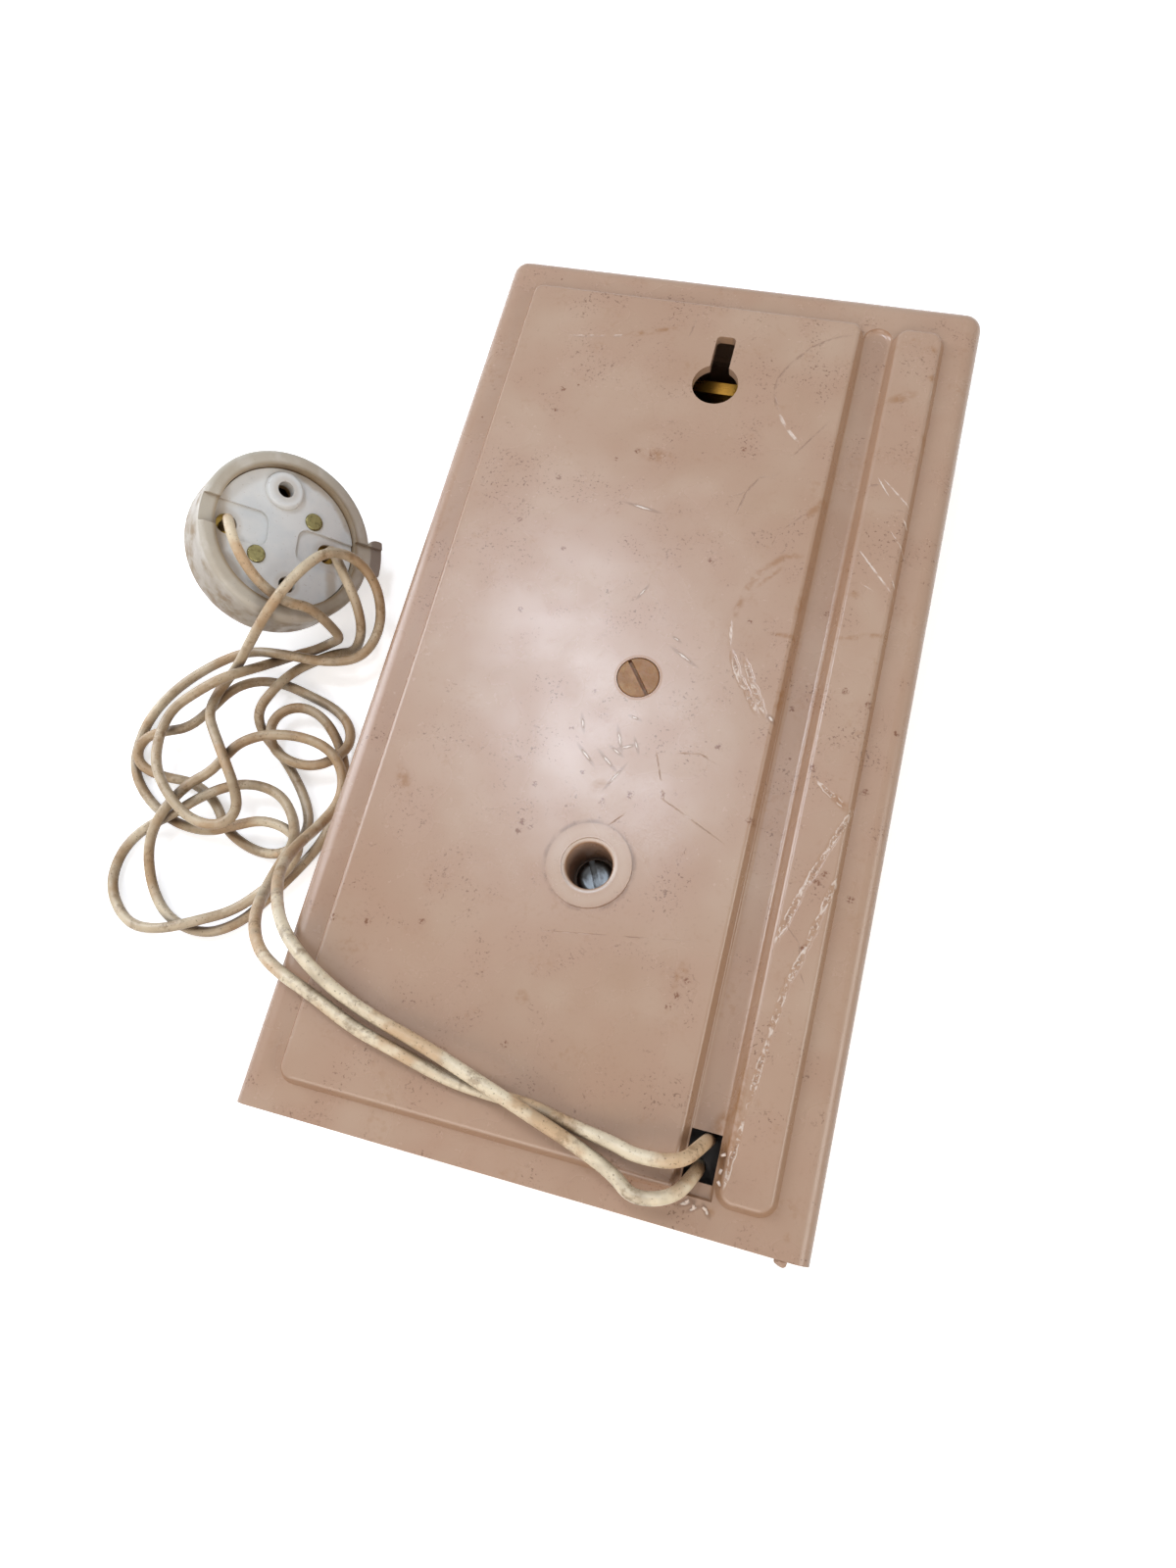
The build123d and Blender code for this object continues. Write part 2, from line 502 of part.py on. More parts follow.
def return_spring():
    """Light spring between the plunger and the bobbin's shoulder."""
    length = BOBBIN_HIGH_Y - 2.5 - CORE_HIGH_Y - 2 * SPRING_WIRE_RADIUS
    path = Helix(length / SPRING_TURNS, length, SPRING_RADIUS)
    start = Plane(path @ 0, z_dir=path % 0)
    coil = sweep(start * Circle(SPRING_WIRE_RADIUS), path=path)
    return Pos(0, CORE_HIGH_Y + SPRING_WIRE_RADIUS, AXIS_Z) * Rot(-90, 0, 0) * coil


def terminal_block():
    """Moulded block whose top takes the two bell wires."""
    body = block(BLOCK_LEFT, BLOCK_RIGHT, BLOCK_LOW_Y, BLOCK_HIGH_Y, BLOCK_BOTTOM, BLOCK_TOP)
    body = chamfer(body.edges().filter_by(Axis.Z), 1.0)
    for x, y in terminal_places():
        body -= rod(x, y, BLOCK_BOTTOM, BLOCK_BOTTOM + 8.0, TERMINAL_SHANK)
    return body


def terminal_places():
    """Centres of the two terminal screws, below the wires."""
    return [(WIRE_A_ROUTE[0][0], WIRE_A_ROUTE[0][1]), (WIRE_B_ROUTE[0][0], WIRE_B_ROUTE[0][1] + 1.0)]


def terminal_screws():
    """Two brass terminal screws, reached from the front."""
    screws = []
    for x, y in terminal_places():
        head = rod(x, y, BLOCK_BOTTOM - TERMINAL_HEAD, BLOCK_BOTTOM, TERMINAL_RADIUS)
        head -= Pos(x, y, BLOCK_BOTTOM - TERMINAL_HEAD) * Box(6, 0.9, 1.4)
        screws.append(head + rod(x, y, BLOCK_BOTTOM, BLOCK_BOTTOM + 8.0, TERMINAL_SHANK))
    return Compound(children=screws)


def coil_leads():
    """Two fine leads from the terminal block to the winding."""
    return Compound(children=[tube(LEAD_A_ROUTE, LEAD_DIAMETER), tube(LEAD_B_ROUTE, LEAD_DIAMETER)])


def push_place():
    """Plane of the bell push's back rim."""
    tilt = math.radians(PUSH_TILT)
    turn = math.radians(PUSH_TURN)
    normal = Vector(math.sin(tilt) * math.cos(turn), math.sin(tilt) * math.sin(turn), math.cos(tilt))
    return Plane(origin=PUSH_CENTRE, x_dir=Vector(0, 1, 0).cross(normal), z_dir=normal)


def placed(shape):
    """A bell push piece in its place."""
    return push_place().location * shape


def polar(radius, angle):
    """A point on a circle round the bell push's axis."""
    return (radius * math.cos(math.radians(angle)), radius * math.sin(math.radians(angle)))


def push_housing():
    """Moulded cover of the bell push with its rounded rim, two wire notches and side lug."""
    front = -PUSH_STRAIGHT - PUSH_FRONT_RADIUS
    body = rod(0, 0, front, 0, PUSH_RADIUS)
    body = fillet(body.edges().group_by(Axis.Z)[0], PUSH_FRONT_RADIUS)
    body = fillet(body.edges().group_by(Axis.Z)[-1], 1.4)
    body += side_lug()
    cavity = rod(0, 0, front + PUSH_FRONT_WALL, 1, PUSH_INNER_RADIUS)
    cavity = fillet(cavity.edges().group_by(Axis.Z)[0], PUSH_FRONT_RADIUS - PUSH_FRONT_WALL)
    body -= cavity
    body -= rod(0, 0, front - 1, 0, BUTTON_RADIUS + FIT_GAP)
    for angle in (CHANNEL_ANGLE, 180 + CHANNEL_ANGLE - 3):
        notch = Pos(PUSH_RADIUS, 0, 0) * Box(2 * (PUSH_RADIUS - BASE_RADIUS) + 2, PUSH_CHANNEL_WIDTH - 1, 2.2)
        body -= Rot(0, 0, angle) * notch
    return body


def side_lug():
    """Rounded lug that stands out of the rim beside the right notch."""
    lug = rod(0, 0, -2.4, -0.4, LUG_REACH)
    sector = Pos(LUG_REACH, 6.2, -1.4) * Box(2 * (LUG_REACH - PUSH_RADIUS + 2.2), 8.8, 2.0)
    lug = lug & sector
    corner = lug.edges().filter_by(Axis.Z).sort_by(Axis.Y)[-1]
    return fillet(corner, 3.0)


def push_base():
    """White base inside the rim, with its screw boss, wire channels and holes."""
    top = -BASE_DEPTH
    base = rod(0, 0, top - BASE_THICKNESS, top, BASE_RADIUS)
    for angle, inner, reach in ((CHANNEL_ANGLE - 3, 3.0, 1), (180 + CHANNEL_ANGLE, 4.5, 1)):
        channel = outline(inner, BASE_RADIUS + reach, -PUSH_CHANNEL_WIDTH / 2 - 1, PUSH_CHANNEL_WIDTH / 2,
                          [3.0, 0, 0, 3.0])
        base -= Rot(0, 0, angle) * Pos(0, 0, top - PUSH_CHANNEL_DEPTH) * extrude(channel, 2)
    x, y = polar(PUSH_SCREW_CIRCLE, PUSH_SCREW_ANGLE)
    boss = rod(x, y, top - 1, top + BASE_BOSS_RISE, BASE_BOSS_RADIUS)
    boss = fillet(boss.edges().group_by(Axis.Z)[-1], 0.9)
    base += boss
    for angle in (PUSH_SCREW_ANGLE, PUSH_SCREW_ANGLE + 180):
        x, y = polar(PUSH_SCREW_CIRCLE, angle)
        base -= rod(x, y, top - 2 * BASE_THICKNESS, 1, PUSH_SCREW_RADIUS)
    for angle in (PUSH_TERMINAL_ANGLE, PUSH_TERMINAL_ANGLE + 180):
        x, y = polar(PUSH_TERMINAL_CIRCLE, angle)
        base -= rod(x, y, top - 2 * BASE_THICKNESS, 1, PUSH_TERMINAL_RADIUS)
    for x, y in (LEFT_WIRE_HOLE, RIGHT_WIRE_HOLE):
        base -= rod(x, y, top - 2 * BASE_THICKNESS, 1, WIRE_HOLE_RADIUS)
    return base


def push_terminal_screws():
    """Two brass terminal screws whose ends show in the base."""
    screws = []
    for angle in (PUSH_TERMINAL_ANGLE, PUSH_TERMINAL_ANGLE + 180):
        x, y = polar(PUSH_TERMINAL_CIRCLE, angle)
        end = rod(x, y, -BASE_DEPTH - BASE_THICKNESS - 2.6, -BASE_DEPTH + 0.5, PUSH_TERMINAL_RADIUS)
        screws.append(fillet(end.edges().group_by(Axis.Z)[-1], 0.4))
    return Compound(children=screws)


def strip(start, end, width, low, high):
    """A flat strip between two points, round at both ends."""
    x, y = start
    dx, dy = end[0] - x, end[1] - y
    bar = Box(math.hypot(dx, dy), width, high - low)
    bar = Pos(x + dx / 2, y + dy / 2, (low + high) / 2) * Rot(0, 0, math.degrees(math.atan2(dy, dx))) * bar
    return bar + rod(x, y, low, high, width / 2) + rod(end[0], end[1], low, high, width / 2)


def fixed_contacts():
    """Two brass strips under the base, each from the leaf past a terminal to a wire's end."""
    contacts = []
    level = -BASE_DEPTH - BASE_THICKNESS
    for angle, hole in ((PUSH_TERMINAL_ANGLE, RIGHT_WIRE_HOLE), (PUSH_TERMINAL_ANGLE + 180, LEFT_WIRE_HOLE)):
        terminal = polar(PUSH_TERMINAL_CIRCLE, angle)
        contact = strip(polar(LEAF_CONTACT_RADIUS, angle), terminal, CONTACT_WIDTH, level - CONTACT_THICKNESS, level)
        contact += strip(terminal, hole, CONTACT_WIDTH, level - CONTACT_THICKNESS, level)
        contacts.append(contact - rod(terminal[0], terminal[1], level - 2, level + 1, PUSH_TERMINAL_RADIUS))
    return Compound(children=contacts)


def push_button():
    """Button, proud of the front face, with a flange that keeps it in."""
    front = -PUSH_STRAIGHT - PUSH_FRONT_RADIUS
    button = rod(0, 0, front - BUTTON_PROUD, LEAF_LEVEL, BUTTON_RADIUS)
    button = fillet(button.edges().group_by(Axis.Z)[0], 1.6)
    seat = front + PUSH_FRONT_WALL
    return button + rod(0, 0, seat + FIT_GAP, seat + 1.4, BUTTON_FLANGE_RADIUS)


def contact_leaf():
    """Phosphor-bronze leaf carried on the button, which bridges the two fixed contacts."""
    leaf = block(-LEAF_HALF_LENGTH, LEAF_HALF_LENGTH, -2.5, 2.5, LEAF_LEVEL, LEAF_LEVEL + 0.5)
    for side in (-1, 1):
        leaf += rod(side * LEAF_CONTACT_RADIUS, 0, LEAF_LEVEL + 0.5, LEAF_LEVEL + 1.8, 0.9)
    return Rot(0, 0, PUSH_TERMINAL_ANGLE) * leaf


def arc_radii(points):
    """Largest arc at each corner: 0.45 of the shorter run over the tangent of half the turn."""
    radii = []
    for before, here, after in zip(points, points[1:], points[2:]):
        first = Vector(here) - Vector(before)
        second = Vector(after) - Vector(here)
        half_turn = math.radians(first.get_angle(second)) / 2
        radii.append(0.45 * min(first.length, second.length) / math.tan(half_turn))
    return radii


def tube(points, diameter):
    """A round cord along straight runs joined by tangent arcs."""
    path = FilletPolyline(*points, radius=arc_radii(points))
    start = Plane(path @ 0, z_dir=path % 0)
    cord = sweep(start * Circle(diameter / 2), path=path)
    print("cord length", round(path.length, 1), "volume share",
          round(cord.volume / (path.length * math.pi * diameter ** 2 / 4), 4),
          "radii", [round(r, 1) for r in arc_radii(points)])
    return cord


PARTS = {
    "back_shell": back_shell,
    "front_cover": front_cover,
    "cover_screw": cover_screw,
    "mechanism_screw": mechanism_screw,
    "mechanism_frame": mechanism_frame,
    "upper_tone_bar": lambda: tone_bar(UPPER_BAR_LENGTH, UPPER_BAR_FACE_Y, 1),
    "lower_tone_bar": lambda: tone_bar(LOWER_BAR_LENGTH, LOWER_BAR_FACE_Y, -1),
    "bar_grommets": bar_grommets,
    "bar_screws": bar_screws,
    "solenoid_yoke": solenoid_yoke,
    "yoke_screws": yoke_screws,
    "coil_bobbin": coil_bobbin,
    "coil_winding": coil_winding,
    "striker_core": striker_core,
    "upper_striker_tip": lambda: striker_tip(UPPER_BAR_FACE_Y - STRIKER_UP - STRIKE_GAP - TIP_LENGTH,
                                             UPPER_BAR_FACE_Y - STRIKER_UP - STRIKE_GAP),
    "lower_striker_tip": lambda: striker_tip(CORE_LOW_Y, LOWER_BAR_FACE_Y + STRIKER_DOWN + STRIKE_GAP),
    "return_spring": return_spring,
    "terminal_block": terminal_block,
    "terminal_screws": terminal_screws,
    "coil_leads": coil_leads,
    "push_housing": lambda: placed(push_housing()),
    "push_base": lambda: placed(push_base()),
    "push_terminal_screws": lambda: placed(push_terminal_screws()),
    "fixed_contacts": lambda: placed(fixed_contacts()),
    "push_button": lambda: placed(push_button()),
    "contact_leaf": lambda: placed(contact_leaf()),
    "wire_a": lambda: tube(WIRE_A_ROUTE, WIRE_DIAMETER),
    "wire_b": lambda: tube(WIRE_B_ROUTE, WIRE_DIAMETER),
}

os.makedirs("parts", exist_ok=True)
for name, make in PARTS.items():
    export_step(make(), "parts/" + name + ".step")
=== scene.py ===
"""Door chime lying on its front, back upward, with its bell push on two loose single wires.

Sizes in the finishes are in millimetres, and meshes, cords and lamps are in metres.
"""
import logging
import math
from dataclasses import dataclass
from enum import Enum
from typing import Any, Protocol

import bmesh
import bpy
from mathutils import Matrix, Quaternion, Vector, noise


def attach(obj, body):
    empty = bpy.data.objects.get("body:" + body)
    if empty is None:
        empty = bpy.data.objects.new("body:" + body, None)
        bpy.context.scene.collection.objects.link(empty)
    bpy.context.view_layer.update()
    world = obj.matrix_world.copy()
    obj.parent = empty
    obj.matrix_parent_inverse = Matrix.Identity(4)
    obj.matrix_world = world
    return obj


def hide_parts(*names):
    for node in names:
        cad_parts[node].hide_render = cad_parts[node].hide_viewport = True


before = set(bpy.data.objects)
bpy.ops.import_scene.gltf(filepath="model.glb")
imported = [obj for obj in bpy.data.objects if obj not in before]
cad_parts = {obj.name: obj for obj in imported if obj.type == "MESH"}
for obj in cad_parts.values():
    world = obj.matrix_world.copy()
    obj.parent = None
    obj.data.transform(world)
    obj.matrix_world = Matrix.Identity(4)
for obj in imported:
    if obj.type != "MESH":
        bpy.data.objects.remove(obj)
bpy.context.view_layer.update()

LOG = logging.getLogger("door_chime")
MM = 0.001
# Depth of a pattern that has to look the same at every height, in millimetres
FLAT = 1000.0
# Half of a stroke's mask as a share of the stroke, so that joined strokes overlap
OVERLAP = 0.55
# Shares of open sky at which the crevice mask begins and is full. On plastics and vinyl the colour it lays
# is painted shade in corners; on metals it is tarnish.
DIRTY_SHADE = (0.92, 0.35)
# Distance between the bands of a wave texture whose scale is one
BAND_PERIOD = 0.314
Point = tuple[float, float, float]
Socket = bpy.types.NodeSocket


def srgb(code: str) -> tuple[float, float, float, float]:
    """Turn an sRGB hex colour into linear RGBA.

    Args:
        code: Colour such as "#C8B8A8".

    Returns:
        Linear red, green, blue and an alpha of one.
    """
    parts = [int(code[i:i + 2], 16) / 255 for i in (1, 3, 5)]
    linear = [c / 12.92 if c <= 0.04045 else ((c + 0.055) / 1.055) ** 2.4 for c in parts]
    return (linear[0], linear[1], linear[2], 1.0)


def add_node(tree: bpy.types.NodeTree, kind: str, inputs: dict[Any, Any] | None = None,
             **settings: Any) -> bpy.types.Node:
    """Add a node with its settings, values and links.

    Args:
        tree: Node tree that takes the node.
        kind: Name of the node's type.
        inputs: For each input, by name or number, a value or the output that feeds it.
        settings: Properties of the node. A dict holds the properties of a property.

    Returns:
        The new node.
    """
    node = tree.nodes.new(kind)
    for name, value in settings.items():
        if isinstance(value, dict):
            for part, amount in value.items():
                setattr(getattr(node, name), part, amount)
        else:
            setattr(node, name, value)
    for key, value in (inputs or {}).items():
        if isinstance(value, Socket):
            tree.links.new(value, node.inputs[key])
        else:
            node.inputs[key].default_value = value
    return node


def add_object(name: str, data: bpy.types.ID) -> bpy.types.Object:
    """Add an object to the scene.

    Args:
        name: Name of the object.
        data: Its mesh, curve, light or camera.

    Returns:
        The object.
    """
    thing = bpy.data.objects.new(name, data)
    bpy.context.scene.collection.objects.link(thing)
    return thing


@dataclass(frozen=True)
class Stroke:
    """One straight wear mark: its two ends and its width, in millimetres."""

    x0: float
    y0: float
    x1: float
    y1: float
    width: float


def run(width: float, *points: tuple[float, float]) -> tuple[Stroke, ...]:
    """Join points into a chain of strokes.

    Args:
        width: Width of the mark.
        points: Places that it passes, in millimetres. One place alone is a dot.

    Returns:
        One stroke for each pair of neighbours.
    """
    if len(points) == 1:
        return (Stroke(*points[0], *points[0], width),)
    return tuple(Stroke(*a, *b, width) for a, b in zip(points, points[1:]))


class Surface:
    """A material being made: its tree, its shader, its place on the piece and how far up it faces."""

    def __init__(self, name: str, **constants: Any) -> None:
        """Start a material.

        Args:
            name: Name of the material.
            constants: The shader's fixed inputs, with underscores for blanks.
        """
        self.material = bpy.data.materials.new(name)
        self.material.use_nodes = True
        self.tree = self.material.node_tree
        self.tree.nodes.clear()
        fixed = {key.replace("_", " "): value for key, value in constants.items()}
        self.shader = add_node(self.tree, "ShaderNodeBsdfPrincipled", fixed)
        add_node(self.tree, "ShaderNodeOutputMaterial", {"Surface": self.shader.outputs[0]})
        where = add_node(self.tree, "ShaderNodeTexCoord")
        scaled = add_node(self.tree, "ShaderNodeVectorMath", {0: where.outputs["Object"], 3: 1 / MM},
                          operation="SCALE")
        self.place = scaled.outputs[0]
        self.upward = add_node(self.tree, "ShaderNodeSeparateXYZ", {0: where.outputs["Normal"]}).outputs[2]

    def node(self, kind: str, inputs: dict[Any, Any] | None = None, output: Any = 0,
             **settings: Any) -> Socket:
        """Add a node and return one of its outputs."""
        return add_node(self.tree, kind, inputs, **settings).outputs[output]

    def feed(self, **inputs: Socket) -> None:
        """Link outputs to the shader's inputs, with underscores for blanks."""
        for key, value in inputs.items():
            self.tree.links.new(value, self.shader.inputs[key.replace("_", " ")])

    def patches(self, size: float, low: float, high: float, detail: float = 3.0,
                place: Socket | None = None) -> Socket:
        """Irregular soft patches.

        Args:
            size: Width of a patch in millimetres.
            low: Noise value at which a patch begins.
            high: Noise value at which it is full.
            detail: Number of finer layers.
            place: Coordinates in millimetres, or the piece's own.

        Returns:
            A mask from 0 to 1.
        """
        cloud = self.node("ShaderNodeTexNoise", {"Vector": place or self.place, "Scale": 1 / size,
                                                 "Detail": detail, "Roughness": 0.6})
        return self.mark(cloud, low, high)

    def layered(self, base: Socket | tuple[float, float, float, float], *coats: Any) -> Socket:
        """Lay colours over a base, each through its mask.

        Args:
            base: Colour underneath.
            coats: For each coat, its hex colour, its greatest cover and the masks that limit it.

        Returns:
            The resulting colour.
        """
        colour = base
        for code, cover, *masks in coats:
            share: Any = cover
            for mask in masks:
                share = self.node("ShaderNodeMath", {0: mask, 1: share}, operation="MULTIPLY")
            colour = self.node("ShaderNodeMix", {0: share, 6: colour, 7: srgb(code)}, 2,
                               data_type="RGBA")
        return colour

    def summed(self, *parts: tuple[Socket, float], start: float = 0.0) -> Socket:
        """Add up masks.

        Args:
            parts: Each mask with its weight.
            start: Amount to begin with.

        Returns:
            The sum.
        """
        total: Any = start
        for mask, weight in parts:
            total = self.node("ShaderNodeMath", {0: mask, 1: weight, 2: total},
                              operation="MULTIPLY_ADD")
        return total

    def relief(self, *parts: tuple[Socket, float]) -> None:
        """Emboss the surface by masks, each with its height in millimetres."""
        height = self.summed(*parts)
        self.feed(Normal=self.node("ShaderNodeBump", {"Height": height, "Distance": MM, "Strength": 1.0}))

    def crevices(self, reach: float, local: bool = True) -> Socket:
        """Mask of corners and gaps that little open sky reaches, found by ambient occlusion. On plastics and
        vinyl the colour laid through it is painted shade, mixed with some dirt on the case; on metals it is
        tarnish in the hollows.

        Args:
            reach: Greatest width of a gap that counts, in millimetres.
            local: Whether only the piece's own corners count.

        Returns:
            A mask from 0 to 1.
        """
        shade = self.node("ShaderNodeAmbientOcclusion", {"Distance": reach * MM}, "AO",
                          samples=4, only_local=local)
        return self.mark(shade, *DIRTY_SHADE)

    def frayed(self, reach: float, size: float) -> Socket:
        """Coordinates pushed to and fro, so that a mark's outline is ragged.

        Args:
            reach: How far they are pushed, in millimetres.
            size: Width of one push, in millimetres.

        Returns:
            The pushed coordinates.
        """
        cloud = self.node("ShaderNodeTexNoise", {"Vector": self.place, "Scale": 1 / size, "Detail": 2.0},
                          "Color")
        pushed = self.node("ShaderNodeVectorMath", {0: cloud, 1: (2 * reach, 2 * reach, 0.0), 2: self.place},
                           operation="MULTIPLY_ADD")
        return self.node("ShaderNodeVectorMath", {0: pushed, 1: (reach, reach, 0.0)}, operation="SUBTRACT")

    def nearest(self, place: Socket, strokes: tuple[Stroke, ...], reach: float = 2.5) -> Socket:
        """Distance to the nearest stroke, which is 1 at a stroke's rim and 0 on its line.

        Args:
            place: Coordinates in millimetres.
            strokes: The marks.
            reach: Greatest distance that is told apart.

        Returns:
            The distance, in half widths.
        """
        found: Socket | None = None
        for s in strokes:
            length = math.hypot(s.x1 - s.x0, s.y1 - s.y0)
            half = (OVERLAP * length + s.width / 2, s.width / 2)
            near = self.node("ShaderNodeTexGradient", {"Vector": place}, 1, gradient_type="SPHERICAL",
                             texture_mapping={
                                 "vector_type": "TEXTURE",
                                 "translation": ((s.x0 + s.x1) / 2, (s.y0 + s.y1) / 2, 0.0),
                                 "rotation": (0.0, 0.0, math.atan2(s.y1 - s.y0, s.x1 - s.x0)),
                                 "scale": (reach * half[0], reach * half[1], FLAT)})
            found = near if found is None else self.node("ShaderNodeMath", {0: found, 1: near},
                                                         operation="MAXIMUM")
        return self.node("ShaderNodeMath", {0: found, 1: -reach, 2: reach}, operation="MULTIPLY_ADD")

    def ring(self, place: Socket, x: float, y: float, radius: float, width: float) -> Socket:
        """Mask of a ring.

        Args:
            place: Coordinates in millimetres.
            x: Centre across.
            y: Centre along.
            radius: Radius of the ring.
            width: Width of the ring.

        Returns:
            A mask from 0 to 1.
        """
        own = self.node("ShaderNodeMapping", {"Vector": place, "Location": (x, y, 0.0),
                                              "Scale": (1.0, 1.0, FLAT)}, vector_type="TEXTURE")
        away = self.node("ShaderNodeVectorMath", {0: own}, 1, operation="LENGTH")
        off = self.node("ShaderNodeMath", {0: away, 1: radius}, operation="SUBTRACT")
        size = self.node("ShaderNodeMath", {0: off}, operation="ABSOLUTE")
        return self.mark(size, width / 2, 0.0)

    def mark(self, amount: Socket, rim: float, core: float, *others: Socket) -> Socket:
        """Mask that grows softly from the rim of a mark or a patch to its core.

        Args:
            amount: What tells the rim from the core, such as the distance from a mark.
            rim: Amount at which the mask begins.
            core: Amount at which it is full.
            others: Masks that limit it.

        Returns:
            A mask from 0 to 1.
        """
        mask = self.node("ShaderNodeMapRange", {0: amount, 1: rim, 2: core},
                         interpolation_type="SMOOTHSTEP")
        for other in others:
            mask = self.node("ShaderNodeMath", {0: mask, 1: other}, operation="MULTIPLY")
        return mask

    def tilt(self, centre: Point, turn: Matrix) -> None:
        """Use the frame of a tilted sub-assembly for all that follows.

        Args:
            centre: Its centre, in millimetres.
            turn: Its rotation.
        """
        self.place = self.node("ShaderNodeMapping", {"Vector": self.place, "Location": centre,
                                                     "Rotation": turn.to_euler()}, vector_type="TEXTURE")


class Mark(Enum):
    """Kinds of wear on the back."""

    NICK = "deep pale nick"
    CHIPPED = "scratch with chips thrown up along it"
    PALE = "pale scratch"
    DARK = "dark scratch"
    STAIN = "brown stain"
    SPECK = "rust speck"


